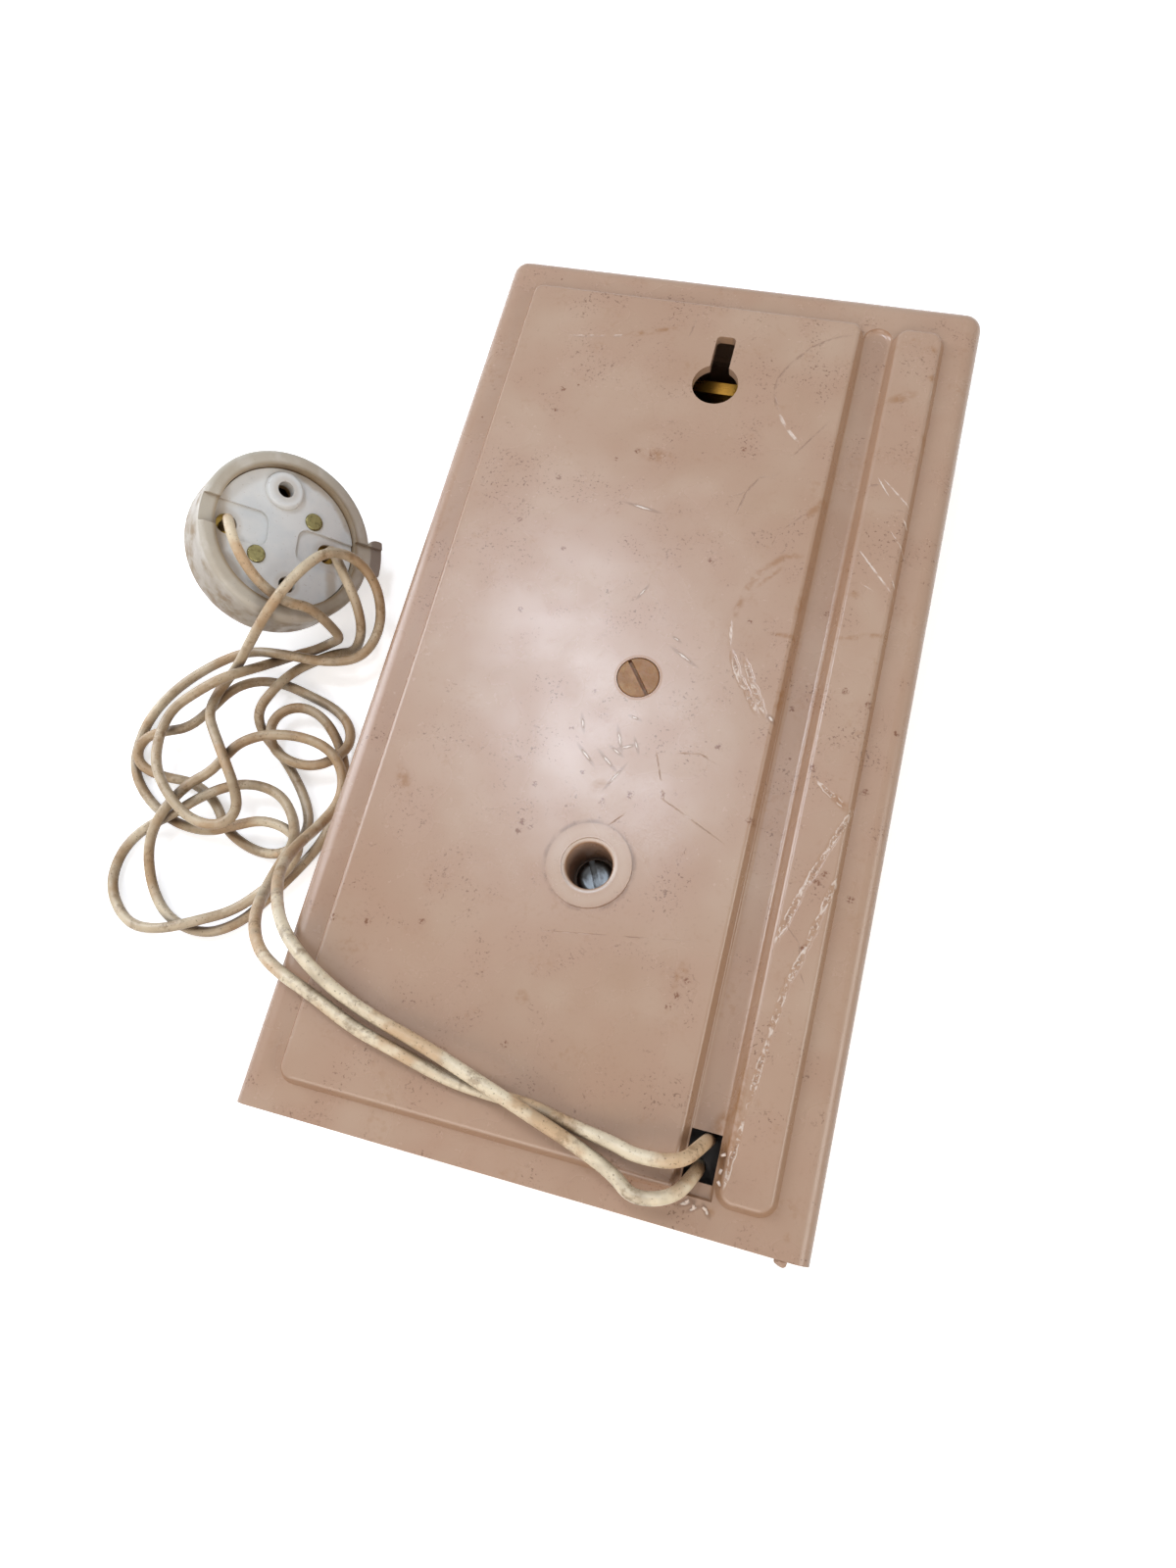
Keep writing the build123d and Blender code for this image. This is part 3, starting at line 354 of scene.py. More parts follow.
# For each kind, rows of a width and the places that the mark passes, in millimetres
BACK_MARKS: dict[Mark, tuple[Any, ...]] = {
    Mark.NICK: (
        (0.5, (-0.9, -13.2), (0.1, -15.7)), (0.5, (-1.1, -16.7), (0.2, -17.4)),
        (0.5, (-2.8, -18.6), (-0.7, -20.3)), (0.5, (-7.3, -18.3), (-5.4, -20.0)),
        (0.5, (-9.0, -11.8), (-8.4, -13.4)), (0.4, (0.9, -9.1), (2.1, -9.4)),
        (0.4, (2.9, -14.3), (3.6, -15.7)), (0.5, (6.9, 6.7), (9.7, 5.2)), (0.4, (-4.1, 18.1), (-3.3, 19.7)),
        (0.4, (5.5, 9.8), (6.3, 9.4)), (0.5, (0.4, -16.2), (2.4, -15.2)),
        (0.4, (-0.2, -23.9), (1.3, -21.0)), (0.5, (-10.5, 39.2), (-6.7, 38.6)),
        (0.7, (28.1, -3.6), (28.6, -4.0)), (0.7, (31.4, -97.0), (32.6, -96.4)),
        (0.5, (33.2, -97.6), (34.0, -97.0)), (0.6, (35.6, -96.7), (36.2, -97.4))),
    Mark.CHIPPED: (
        (1.5, (47.5, -18.9), (43.9, -28.7), (41.4, -35.7), (38.1, -47.8)),
        (1.5, (47.0, -33.2), (45.3, -40.3), (43.8, -47.6), (41.8, -54.6), (40.5, -65.0), (39.2, -78.0)),
        (1.3, (39.0, -80.0), (38.0, -92.5)), (1.4, (39.8, -14.9), (46.4, -19.1)),
        (1.5, (18.0, 8.4), (19.9, 4.2), (22.2, 1.5), (24.8, -2.4)),
        (1.5, (21.0, 7.2), (23.1, 3.1), (26.5, -2.5))),
    Mark.PALE: (
        (0.35, (39.5, 54.9), (42.2, 51.2)), (0.35, (41.2, 54.4), (47.0, 49.0)),
        (0.35, (44.5, 42.3), (47.9, 38.1)), (0.45, (38.8, 36.9), (47.6, 27.5)),
        (0.35, (41.0, 29.2), (43.0, 28.2)), (0.35, (46.2, 46.0), (47.5, 44.3)),
        (0.35, (45.8, 32.5), (47.2, 30.0)), (0.8, (15.5, 67.4), (18.1, 63.8), (20.8, 61.2)),
        (0.6, (16.1, 15.4), (16.9, 10.9)), (0.3, (-35.4, 80.9), (-23.2, 82.8))),
    Mark.DARK: (
        (0.7, (29.7, 91.8), (23.6, 89.2), (19.0, 85.8), (15.6, 81.0), (13.4, 76.5), (13.7, 71.8),
            (15.5, 67.4)),
        (0.45, (20.1, 56.3), (26.2, 66.4)), (0.5, (11.7, 41.3), (12.7, 46.9), (14.8, 50.7), (18.5, 52.3)),
        (0.4, (8.9, 44.5), (12.7, 46.9)), (0.3, (11.5, -25.1), (23.6, -30.6)),
        (0.3, (7.7, -16.0), (11.2, -24.6)), (0.3, (2.1, -32.2), (4.0, -29.9)),
        (0.3, (11.9, -14.8), (16.4, -14.1), (19.5, -15.3)), (0.22, (-4.3, -55.6), (21.8, -51.3)),
        (0.35, (-35.4, 80.5), (-23.2, 82.4)), (0.4, (-8.6, 84.7), (-7.8, 91.5)),
        (0.3, (39.7, -44.3), (42.5, -46.8), (43.5, -51.9), (45.0, -54.2)),
        (0.35, (41.5, 48.0), (47.6, 47.9)), (0.5, (38.2, 52.9), (39.7, 53.4)),
        (0.4, (22.7, 39.7), (26.2, 43.8)), (0.4, (20.2, 32.9), (21.3, 37.8))),
    Mark.STAIN: (
        (1.5, (26.5, 33.4), (24.1, 32.9), (20.5, 29.6), (18.0, 25.2), (17.1, 21.3), (16.6, 17.8)),
        (1.0, (23.4, 29.6), (20.4, 25.7)), (1.3, (25.2, 14.7), (29.7, 14.9)),
        (1.2, (38.4, 16.4), (46.5, 18.7)), (1.6, (29.5, 26.5), (28.8, 20.7)),
        (1.7, (26.4, 42.7), (29.8, 48.2)), (1.8, (39.6, 26.8)), (1.4, (47.3, 67.3), (47.6, 64.9)),
        (1.8, (44.1, -17.5), (46.4, -19.1)), (1.5, (-22.0, 83.2), (-16.9, 84.8), (-13.4, 85.9)),
        (2.2, (39.4, 75.0), (42.4, 76.8)), (2.4, (45.0, 89.4)), (2.0, (41.4, 90.9)), (2.0, (46.6, 81.9)),
        (2.4, (35.8, -80.6), (34.6, -83.0)), (3.2, (-10.6, 52.5), (-6.8, 52.0)), (2.0, (-6.0, 53.0)),
        (2.6, (-43.0, -31.0), (-41.0, -33.5)), (2.0, (22.6, -56.0), (22.0, -60.0)), (2.4, (-6.0, -69.0)),
        (1.6, (29.2, 3.4), (29.0, -1.0)), (2.2, (37.6, -72.0), (37.2, -92.0)), (1.6, (50.6, -97.4)),
        (1.6, (36.6, -97.0))),
    Mark.SPECK: (
        (1.0, (4.5, -25.4)), (0.7, (-19.6, -22.7)), (0.7, (-6.1, -22.8)), (0.8, (-0.6, -28.0)),
        (0.9, (19.5, -11.9)), (0.6, (-10.7, -14.1)), (0.6, (-8.1, -5.3)), (0.8, (-28.5, 9.7)),
        (0.9, (-15.2, -35.7)), (0.8, (-13.5, -36.3)), (0.9, (-15.7, -37.7)), (0.7, (10.8, -24.0)),
        (0.7, (-15.1, -27.4)), (0.9, (-47.3, -62.9)), (0.9, (-40.2, -62.2)), (0.8, (-29.5, -59.6)),
        (0.8, (-6.9, -78.1)), (0.7, (-13.2, 52.7)), (0.8, (-34.7, 31.1)), (0.7, (-23.1, 25.8)),
        (0.9, (8.9, 28.8)), (0.8, (34.8, 22.8)), (0.8, (19.8, 16.6)), (0.8, (31.8, 0.4)),
        (1.2, (28.9, -25.5)), (1.0, (38.4, -12.1)), (0.9, (43.5, -34.8)), (0.9, (44.7, -32.9)),
        (0.9, (50.2, -36.0)), (0.9, (49.3, -14.3)), (0.9, (46.6, 3.1)), (0.8, (53.0, -0.8)),
        (0.9, (22.4, -61.8)), (0.8, (23.6, -58.6)), (0.8, (21.4, -64.0)), (0.8, (9.9, 57.2)),
        (0.7, (-9.7, 52.3)), (0.7, (-17.4, 50.0)), (0.8, (-34.1, 66.0)), (0.8, (-28.8, 42.9)),
        (0.7, (-34.6, 60.1)), (0.9, (41.7, 5.1)), (0.8, (43.3, -47.3))),
}


@dataclass(frozen=True)
class MouldedStyrene:
    """Injection-moulded polystyrene, gone tan with age: smooth and satin, with a darker tan on its rounded
    border that is partly yellowing and partly painted shade, and with dirt and painted shade in its corners.

    A pair says how far upward a face looks where the darker tan of the rounded border, partly painted shade
    on faces turned from upward, begins and is full.
    """

    name: str = "moulded_styrene_aged"
    base: str = "#B0917A"
    pink: str = "#AC8972"
    pale: str = "#BBA28C"
    tan: str = "#9C7656"
    dirt: str = "#6B4A33"
    soil_and_shade: str = "#84603F"
    ior: float = 1.55
    gloss: float = 0.25
    cloud: float = 34.0
    blush: float = 9.0
    grain: float = 0.9
    seam: float = 2.2
    from_flat: tuple[float, float] = (0.985, 0.55)
    from_side: tuple[float, float] = (0.08, 0.275)

    def start(self) -> tuple[Surface, Socket]:
        """Make the clean aged plastic.

        Returns:
            The surface and its colour.
        """
        s = Surface(self.name, IOR=self.ior, Roughness=self.gloss)
        # Mask by how far a face turns from upward: the tan laid through it is partly yellowing, partly
        # painted shade of the rounded border
        shaded_tan_edges = s.mark(s.upward, *self.from_flat, s.mark(s.upward, *self.from_side))
        colour = s.layered(
            srgb(self.base),
            (self.tan, 0.30, s.patches(self.cloud, 0.38, 0.76, 1.0)),
            (self.pink, 0.55, s.patches(self.blush, 0.30, 0.75, 1.0)),
            (self.pale, 0.50, s.patches(self.cloud * 0.6, 0.42, 0.80, 2.0)),
            # Tan on the rounded border: partly yellowing, partly painted shade
            (self.tan, 0.50, shaded_tan_edges),
            (self.dirt, 0.12, s.patches(self.grain, 0.60, 0.80, 2.0)),
            # Brown dirt with painted shade in the creases and corners, laid by the crevice mask
            (self.soil_and_shade, 0.34, s.crevices(self.seam)))
        return s, colour

    def worn(self, s: Surface, *more: tuple[Socket, float]) -> None:
        """Set the roughness, with hand-polished and dull patches.

        Args:
            s: The surface.
            more: Masks that dull it further, with how much.
        """
        dull = s.patches(14.0, 0.30, 0.75, 1.0)
        fine = s.patches(1.6, 0.55, 0.8)
        s.feed(Roughness=s.summed((dull, 0.07), (fine, 0.04), *more, start=self.gloss - 0.02))

    def material(self) -> bpy.types.Material:
        """Make the material for a piece without wear marks."""
        s, colour = self.start()
        s.feed(Base_Color=colour)
        self.worn(s)
        s.relief((s.patches(self.cloud, 0.3, 0.7), 0.05), (s.patches(self.grain, 0.3, 0.7), 0.002))
        return s.material


@dataclass(frozen=True)
class WornBack(MouldedStyrene):
    """The same plastic on the back, with its nicks, chipped scratches, stains and rust specks.

    A ring is its radius and its width. The banks of torn plastic lie beside a scratch, in half widths
    of it. The dimple and the sink mark are strokes of one point.
    """

    name: str = "moulded_styrene_worn_back"
    plug: tuple[float, float] = (0.0, -0.4)
    plug_gap: tuple[float, float] = (4.75, 1.1)
    bore: tuple[float, float] = (0.0, -41.2)
    bore_foot: tuple[float, float] = (8.9, 1.6)
    bore_land: tuple[float, float] = (6.9, 5.0)
    bore_lip_highlight: tuple[float, float] = (5.3, 1.2)
    bank: float = 0.70
    bank_half: float = 0.25
    speck_pitch: float = 7.0
    dimple: tuple[Stroke, ...] = run(5.0, (-1.7, -25.6))
    sink: tuple[Stroke, ...] = run(17.0, (-3.9, -8.4))
    chip: str = "#E6D8CB"
    rust: str = "#70401F"
    stain: str = "#94683F"
    scratch: str = "#7D5F4B"
    groove: str = "#9A6A3C"

    def material(self) -> bpy.types.Material:
        """Make the material with every mark laid over the aged plastic."""
        s, colour = self.start()
        ragged = s.frayed(0.40, 1.8)
        steady = s.frayed(0.16, 0.7)
        spread = s.frayed(0.6, 0.8)
        lines_at = {Mark.CHIPPED: ragged, Mark.STAIN: ragged, Mark.SPECK: spread}
        away = {kind: s.nearest(lines_at.get(kind, steady), sum((run(*row) for row in rows), ()))
                for kind, rows in BACK_MARKS.items()}
        broken = s.patches(1.4, 0.44, 0.54, 2.0)
        crumbs = s.patches(0.55, 0.55, 0.62, 2.0)
        worn_off = s.patches(3.0, 0.38, 0.60)
        track = s.mark(away[Mark.CHIPPED], 1.25, 0.7)
        middle = s.node("ShaderNodeMath", {0: away[Mark.CHIPPED], 1: self.bank}, operation="SUBTRACT")
        off = s.node("ShaderNodeMath", {0: middle}, operation="ABSOLUTE")
        lines = s.mark(off, self.bank_half, 0.0, broken)
        chips = s.mark(away[Mark.CHIPPED], 0.9, 0.5, crumbs)
        nicks = s.mark(away[Mark.NICK], 1.0, 0.5)
        scratches = s.mark(away[Mark.DARK], 1.2, 0.5, worn_off)
        bright = s.mark(away[Mark.PALE], 1.2, 0.6, worn_off)
        cells = add_node(s.tree, "ShaderNodeTexVoronoi",
                         {"Vector": s.frayed(0.25, 0.4), "Scale": 1 / self.speck_pitch}).outputs
        rare = s.node("ShaderNodeSeparateColor", {0: cells["Color"]})
        chosen = s.node("ShaderNodeMapRange", {0: rare, 1: 0.50, 2: 0.52})
        specks = s.mark(cells["Distance"], 0.050, 0.025, chosen)
        colour = s.layered(
            colour,
            (self.stain, 0.30, s.patches(8.0, 0.50, 0.74, 3.0), s.patches(1.3, 0.46, 0.66)),
            (self.dirt, 0.70, s.patches(9.0, 0.50, 0.64, 4.0), s.patches(0.6, 0.58, 0.68, 2.0)),
            (self.stain, 0.70, s.mark(away[Mark.STAIN], 1.5, 0.3), s.patches(2.4, 0.36, 0.62)),
            (self.scratch, 0.60, scratches),
            (self.stain, 0.30, track),
            (self.dirt, 0.55, s.mark(away[Mark.CHIPPED], 0.5, 0.1, broken)),
            (self.dirt, 0.40, s.mark(away[Mark.NICK], 2.4, 1.2)),
            (self.rust, 0.85, s.mark(away[Mark.SPECK], 2.2, 0.8, s.patches(0.5, 0.42, 0.56, 2.0))),
            (self.rust, 0.75, specks),
            (self.groove, 0.85, s.ring(s.place, *self.plug, *self.plug_gap)),
            (self.dirt, 0.45, s.ring(s.place, *self.bore, *self.bore_foot), s.patches(5.0, 0.42, 0.60)),
            (self.pale, 0.60, s.ring(s.place, *self.bore, *self.bore_land)),
            # Painted highlight on the bore's rounded lip, laid in the chip colour
            (self.chip, 0.60, s.ring(s.place, *self.bore, *self.bore_lip_highlight)),
            (self.chip, 0.65, bright), (self.chip, 0.60, lines),
            (self.chip, 0.40, chips), (self.chip, 0.85, nicks))
        s.feed(Base_Color=colour)
        self.worn(s, (track, 0.10), (scratches, 0.15), (bright, 0.15))
        dimple = s.mark(s.nearest(s.place, self.dimple), 1.0, 0.0)
        sunk = s.mark(s.nearest(s.place, self.sink), 1.0, 0.0)
        s.relief(
            (s.patches(self.cloud, 0.3, 0.7), 0.05), (s.patches(self.grain, 0.3, 0.7), 0.0015),
            (dimple, -0.05), (sunk, -0.08), (scratches, -0.04), (bright, -0.04),
            (track, -0.03), (lines, 0.04), (chips, 0.03), (nicks, 0.06))
        return s.material


@dataclass(frozen=True)
class TanNylon:
    """Moulded nylon screw: a slightly see-through tan, glossy, with a brown painted shade in its slot and
    where it meets other parts.
    """

    name: str = "moulded_nylon_tan"
    base: str = "#8C6238"
    pale: str = "#AA8458"
    brown: str = "#8F6138"

    def material(self) -> bpy.types.Material:
        """Make the material."""
        s = Surface(self.name, IOR=1.53, Roughness=0.28, Subsurface_Weight=0.25, Subsurface_Scale=0.0015)
        colour = s.layered(srgb(self.base), (self.pale, 0.5, s.patches(2.2, 0.45, 0.7)),
                           # Brown painted shade in the slot and the corners
                           (self.brown, 0.75, s.crevices(1.0, False)),
                           (self.brown, 0.35, s.patches(0.7, 0.62, 0.75)))
        s.feed(Base_Color=colour, Roughness=s.summed((s.patches(1.5, 0.4, 0.7), 0.15), start=0.42))
        s.relief((s.patches(1.2, 0.35, 0.65), 0.04))
        return s.material


@dataclass(frozen=True)
class Metal:
    """A metal with its plating or polish: drawn or rolled grain, with tarnish in patches."""

    name: str
    base: str
    tarnish: str
    roughness: float = 0.34
    grain: tuple[float, float, float] = (0.25, 6.0, 6.0)
    spots: float = 2.5
    tarnished: float = 0.5

    def material(self) -> bpy.types.Material:
        """Make the material: a stretched noise draws the grain."""
        s = Surface(self.name, Metallic=1.0, Roughness=self.roughness)
        along = s.node("ShaderNodeMapping", {"Vector": s.place, "Scale": self.grain}, vector_type="TEXTURE")
        lines = s.node("ShaderNodeTexNoise", {"Vector": along, "Scale": 1.0, "Detail": 3.0})
        spotted = s.patches(self.spots, 0.45, 0.72, 4.0)
        colour = s.layered(srgb(self.base), (self.tarnish, self.tarnished, spotted),
                           (self.tarnish, 0.6, s.crevices(0.8, False)), (self.tarnish, 0.15, lines))
        s.feed(Base_Color=colour,
               Roughness=s.summed((spotted, 0.18), (lines, 0.12), start=self.roughness - 0.08))
        s.relief((lines, 0.010), (spotted, 0.004))
        return s.material


@dataclass(frozen=True)
class EnamelledCopper:
    """Copper wire under clear enamel, wound in layers. The turns are drawn at 0.6 mm so that they show."""

    name: str = "enamelled_copper_winding"
    base: str = "#A4532B"
    dark: str = "#5C2812"
    turn: float = 0.6

    def material(self) -> bpy.types.Material:
        """Make the material: a wave along the coil draws the turns."""
        s = Surface(self.name, Metallic=1.0, Roughness=0.32, Coat_Weight=0.6, Coat_Roughness=0.15)
        turns = s.node("ShaderNodeTexWave", {"Vector": s.place, "Scale": BAND_PERIOD / self.turn,
                                             "Distortion": 0.4, "Detail": 1.0}, bands_direction="Y")
        s.feed(Base_Color=s.layered(srgb(self.base), (self.dark, 0.6, turns),
                                    (self.dark, 0.3, s.patches(4.0, 0.5, 0.7))))
        s.relief((turns, 0.15))
        return s.material


@dataclass(frozen=True)
class MouldedPart:
    """A plain moulded plastic or rubber, with faint flow clouds, fine grain, dust, and a painted shade in
    its corners and where it meets other parts.
    """

    name: str
    base: str
    shade: str
    dirt: str = "#7D6748"
    roughness: float = 0.45
    ior: float = 1.5
    cloud: float = 12.0
    soiled_and_shaded: float = 0.5

    def material(self) -> bpy.types.Material:
        """Make the material."""
        s = Surface(self.name, IOR=self.ior, Roughness=self.roughness)
        colour = s.layered(srgb(self.base), (self.shade, 0.6, s.patches(self.cloud, 0.42, 0.7)),
                           # Painted shade in the dust colour in the corners and where other parts meet it;
                           # the next coat is real dust specks
                           (self.dirt, self.soiled_and_shaded, s.crevices(1.6, False)),
                           (self.dirt, 0.12, s.patches(0.8, 0.62, 0.78)))
        s.feed(Base_Color=colour,
               Roughness=s.summed((s.patches(self.cloud / 3, 0.4, 0.7), 0.14), start=self.roughness - 0.06))
        s.relief((s.patches(0.7, 0.3, 0.7), 0.008), (s.patches(self.cloud, 0.3, 0.7), 0.03))
        return s.material


@dataclass(frozen=True)
class PushCover:
    """Ivory urea moulding of the bell push: warm grey, with brown handling streaks and a painted shade down
    its outer wall, painted shade in its corners, and a grey painted shade on its tab.

    Each pair is where a zone begins and where it is full, as a height or as a radius.
    """

    centre: Point
    turn: Matrix
    name: str = "moulded_urea_ivory_soiled"
    base: str = "#C2BAAB"
    pale: str = "#D6D1C8"
    grime_and_shade: str = "#8A6E42"
    brown: str = "#6A4E2A"
    lug_shade: str = "#92857B"
    side_heights: tuple[float, float] = (-1.2, -5.0)
    inner_radii: tuple[float, float] = (19.4, 18.2)
    lug_radii: tuple[float, float] = (22.3, 22.8)

    def material(self) -> bpy.types.Material:
        """Make the material in the push's own frame."""
        s = Surface(self.name, IOR=1.55, Roughness=0.38)
        s.tilt(self.centre, self.turn)
        height = s.node("ShaderNodeSeparateXYZ", {0: s.place}, 2)
        flat = s.node("ShaderNodeVectorMath", {0: s.place, 1: (1.0, 1.0, 0.0)}, operation="MULTIPLY")
        away = s.node("ShaderNodeVectorMath", {0: flat}, 1, operation="LENGTH")
        # Mask of the outer wall, which takes brown streaks and a painted shade for the wall turned from the
        # light
        shaded_side = s.mark(height, *self.side_heights)
        inner = s.mark(away, *self.inner_radii)
        # Mask of the tab, which takes a grey painted shade
        tab = s.node("ShaderNodeMapRange", {0: away, 1: self.lug_radii[0], 2: self.lug_radii[1]})
        streaks = s.patches(5.0, 0.36, 0.66, 4.0)
        film = s.patches(11.0, 0.42, 0.64, 4.0)
        colour = s.layered(
            srgb(self.base), (self.pale, 0.6, s.patches(7.0, 0.5, 0.7)),
            # Brown streaks, partly real and partly painted shade, then an even painted shade over the outer
            # wall, then a faint film of dirt
            (self.grime_and_shade, 0.75, shaded_side, streaks), (self.brown, 0.30, shaded_side), (self.grime_and_shade, 0.15, film),
            # Darker inside the rim; then a brown painted shade in the corners and where the base meets the
            # cover
            (self.grime_and_shade, 0.65, inner), (self.brown, 0.60, s.crevices(2.5, False)),
            # Grey painted shade on the tab, then real brown specks
            (self.lug_shade, 0.95, tab), (self.brown, 0.35, s.patches(0.6, 0.66, 0.76, 2.0)))
        s.feed(Base_Color=colour, Roughness=s.summed((streaks, 0.2), (film, 0.08), start=0.30))
        s.relief((s.patches(9.0, 0.3, 0.7, 2.0), 0.06), (s.patches(0.5, 0.4, 0.7, 2.0), 0.006))
        return s.material


@dataclass(frozen=True)
class PushBase:
    """White urea base: cool white, satin, with brown stains at its rim, round its holes and along its wires,
    a painted shade in its corners, and a dark brown painted shade deep in its holes.
    """

    centre: Point
    turn: Matrix
    name: str = "moulded_urea_white_stained"
    base: str = "#EEF0EF"
    cool: str = "#E2E7E9"
    stain: str = "#A68C63"
    brown: str = "#8A6426"
    stains: tuple[Stroke, ...] = (
        *run(3.2, (-17.5, 3.0), (-16.6, -4.5), (-13.0, -11.5), (-6.0, -16.6)),
        *run(2.0, (0.0, -17.6), (9.0, -15.0)), *run(2.4, (13.5, -2.0), (15.5, -9.0)),
        *run(1.6, (15.0, 10.0), (8.0, 16.2), (-3.0, 17.6)))
    holes: tuple[Stroke, ...] = (
        *run(5.8, (-4.17, 11.46)), *run(5.8, (4.17, -11.46)),
        *run(6.8, (-14.2, -3.6)), *run(6.8, (11.4, 1.6)))
    hole_shade_heights: tuple[float, float] = (-3.6, -4.4)

    def material(self) -> bpy.types.Material:
        """Make the material in the push's own frame."""
        s = Surface(self.name, IOR=1.55, Roughness=0.36)
        s.tilt(self.centre, self.turn)
        frayed = s.frayed(1.2, 5.0)
        height = s.node("ShaderNodeSeparateXYZ", {0: s.place}, 2)
        # Mask of the depths of the holes, which take a dark brown painted shade
        inside = s.node("ShaderNodeMapRange", {0: height, 1: self.hole_shade_heights[0], 2: self.hole_shade_heights[1]})
        around = s.mark(s.nearest(s.place, self.holes), 1.35, 0.85)
        colour = s.layered(
            srgb(self.base), (self.cool, 0.7, s.patches(8.0, 0.4, 0.65)),
            (self.stain, 0.50, s.mark(s.nearest(frayed, self.stains), 1.7, 0.4)),
            # Painted shade in the stain colour in the corners and where the base meets other parts, then
            # real stain round the holes
            (self.stain, 0.28, s.crevices(1.2, False)), (self.stain, 0.28, around),
            # Dark brown painted shade deep in the holes, then real brown specks
            (self.brown, 0.90, inside), (self.brown, 0.30, s.patches(0.7, 0.67, 0.76, 2.0)))
        s.feed(Base_Color=colour,
               Roughness=s.summed((s.patches(4.0, 0.4, 0.7), 0.15), start=0.30))
        s.relief((s.patches(6.0, 0.3, 0.7, 2.0), 0.04), (s.patches(0.5, 0.4, 0.7, 2.0), 0.005))
        return s.material


@dataclass(frozen=True)
class BellWireVinyl:
    """Old extruded vinyl: cream, dull, gone tan in stretches, with pits, and a dark painted shade where
    wires touch.

    The tangle near the floor is darker than the stretch that lies on the case, partly from dirt and partly
    from painted shade.
    """

    name: str = "extruded_vinyl_cream"
    base: str = "#E6D6B8"
    tan: str = "#C29C72"
    grey: str = "#A2927A"
    brown: str = "#7A5A38"
    deep: str = "#4E3822"
    film: str = "#8E6F48"
    speck: str = "#5E4A30"
    clean_lit_above: float = 44.0
    soiled_shaded_below: float = 14.0

    def material(self) -> bpy.types.Material:
        """Make the material."""
        s = Surface(self.name, IOR=1.52, Roughness=0.46)
        tan = s.patches(16.0, 0.46, 0.60, 4.0)
        grey = s.patches(9.0, 0.52, 0.68, 3.0, s.frayed(9.0, 30.0))
        pits = s.patches(0.55, 0.66, 0.72, 1.0)
        height = s.node("ShaderNodeSeparateXYZ", {0: s.place}, 2)
        # Darker towards the floor: partly dirt, partly the painted shade of the tangle's lower layers
        soiled_and_shaded = s.node("ShaderNodeMapRange", {0: height, 1: self.clean_lit_above, 2: self.soiled_shaded_below})
        colour = s.layered(
            srgb(self.base), (self.tan, 0.75, tan), (self.grey, 0.55, grey),
            (self.brown, 0.55, s.patches(6.0, 0.50, 0.66, 5.0), s.patches(1.2, 0.4, 0.6)),
            # Film of dirt with painted shade, strongest near the floor
            (self.film, 0.60, soiled_and_shaded, s.patches(18.0, 0.25, 0.60)),
            # Dark painted shade where wires touch and lie close, then real dark pits
            (self.deep, 0.90, s.crevices(5.0, False)), (self.speck, 0.55, pits))
        s.feed(Base_Color=colour, Roughness=s.summed((tan, 0.10), (pits, 0.2), start=0.40))
        s.relief((s.patches(1.6, 0.3, 0.7), 0.05), (s.patches(5.0, 0.3, 0.7, 2.0), 0.10), (pits, -0.03))
        return s.material


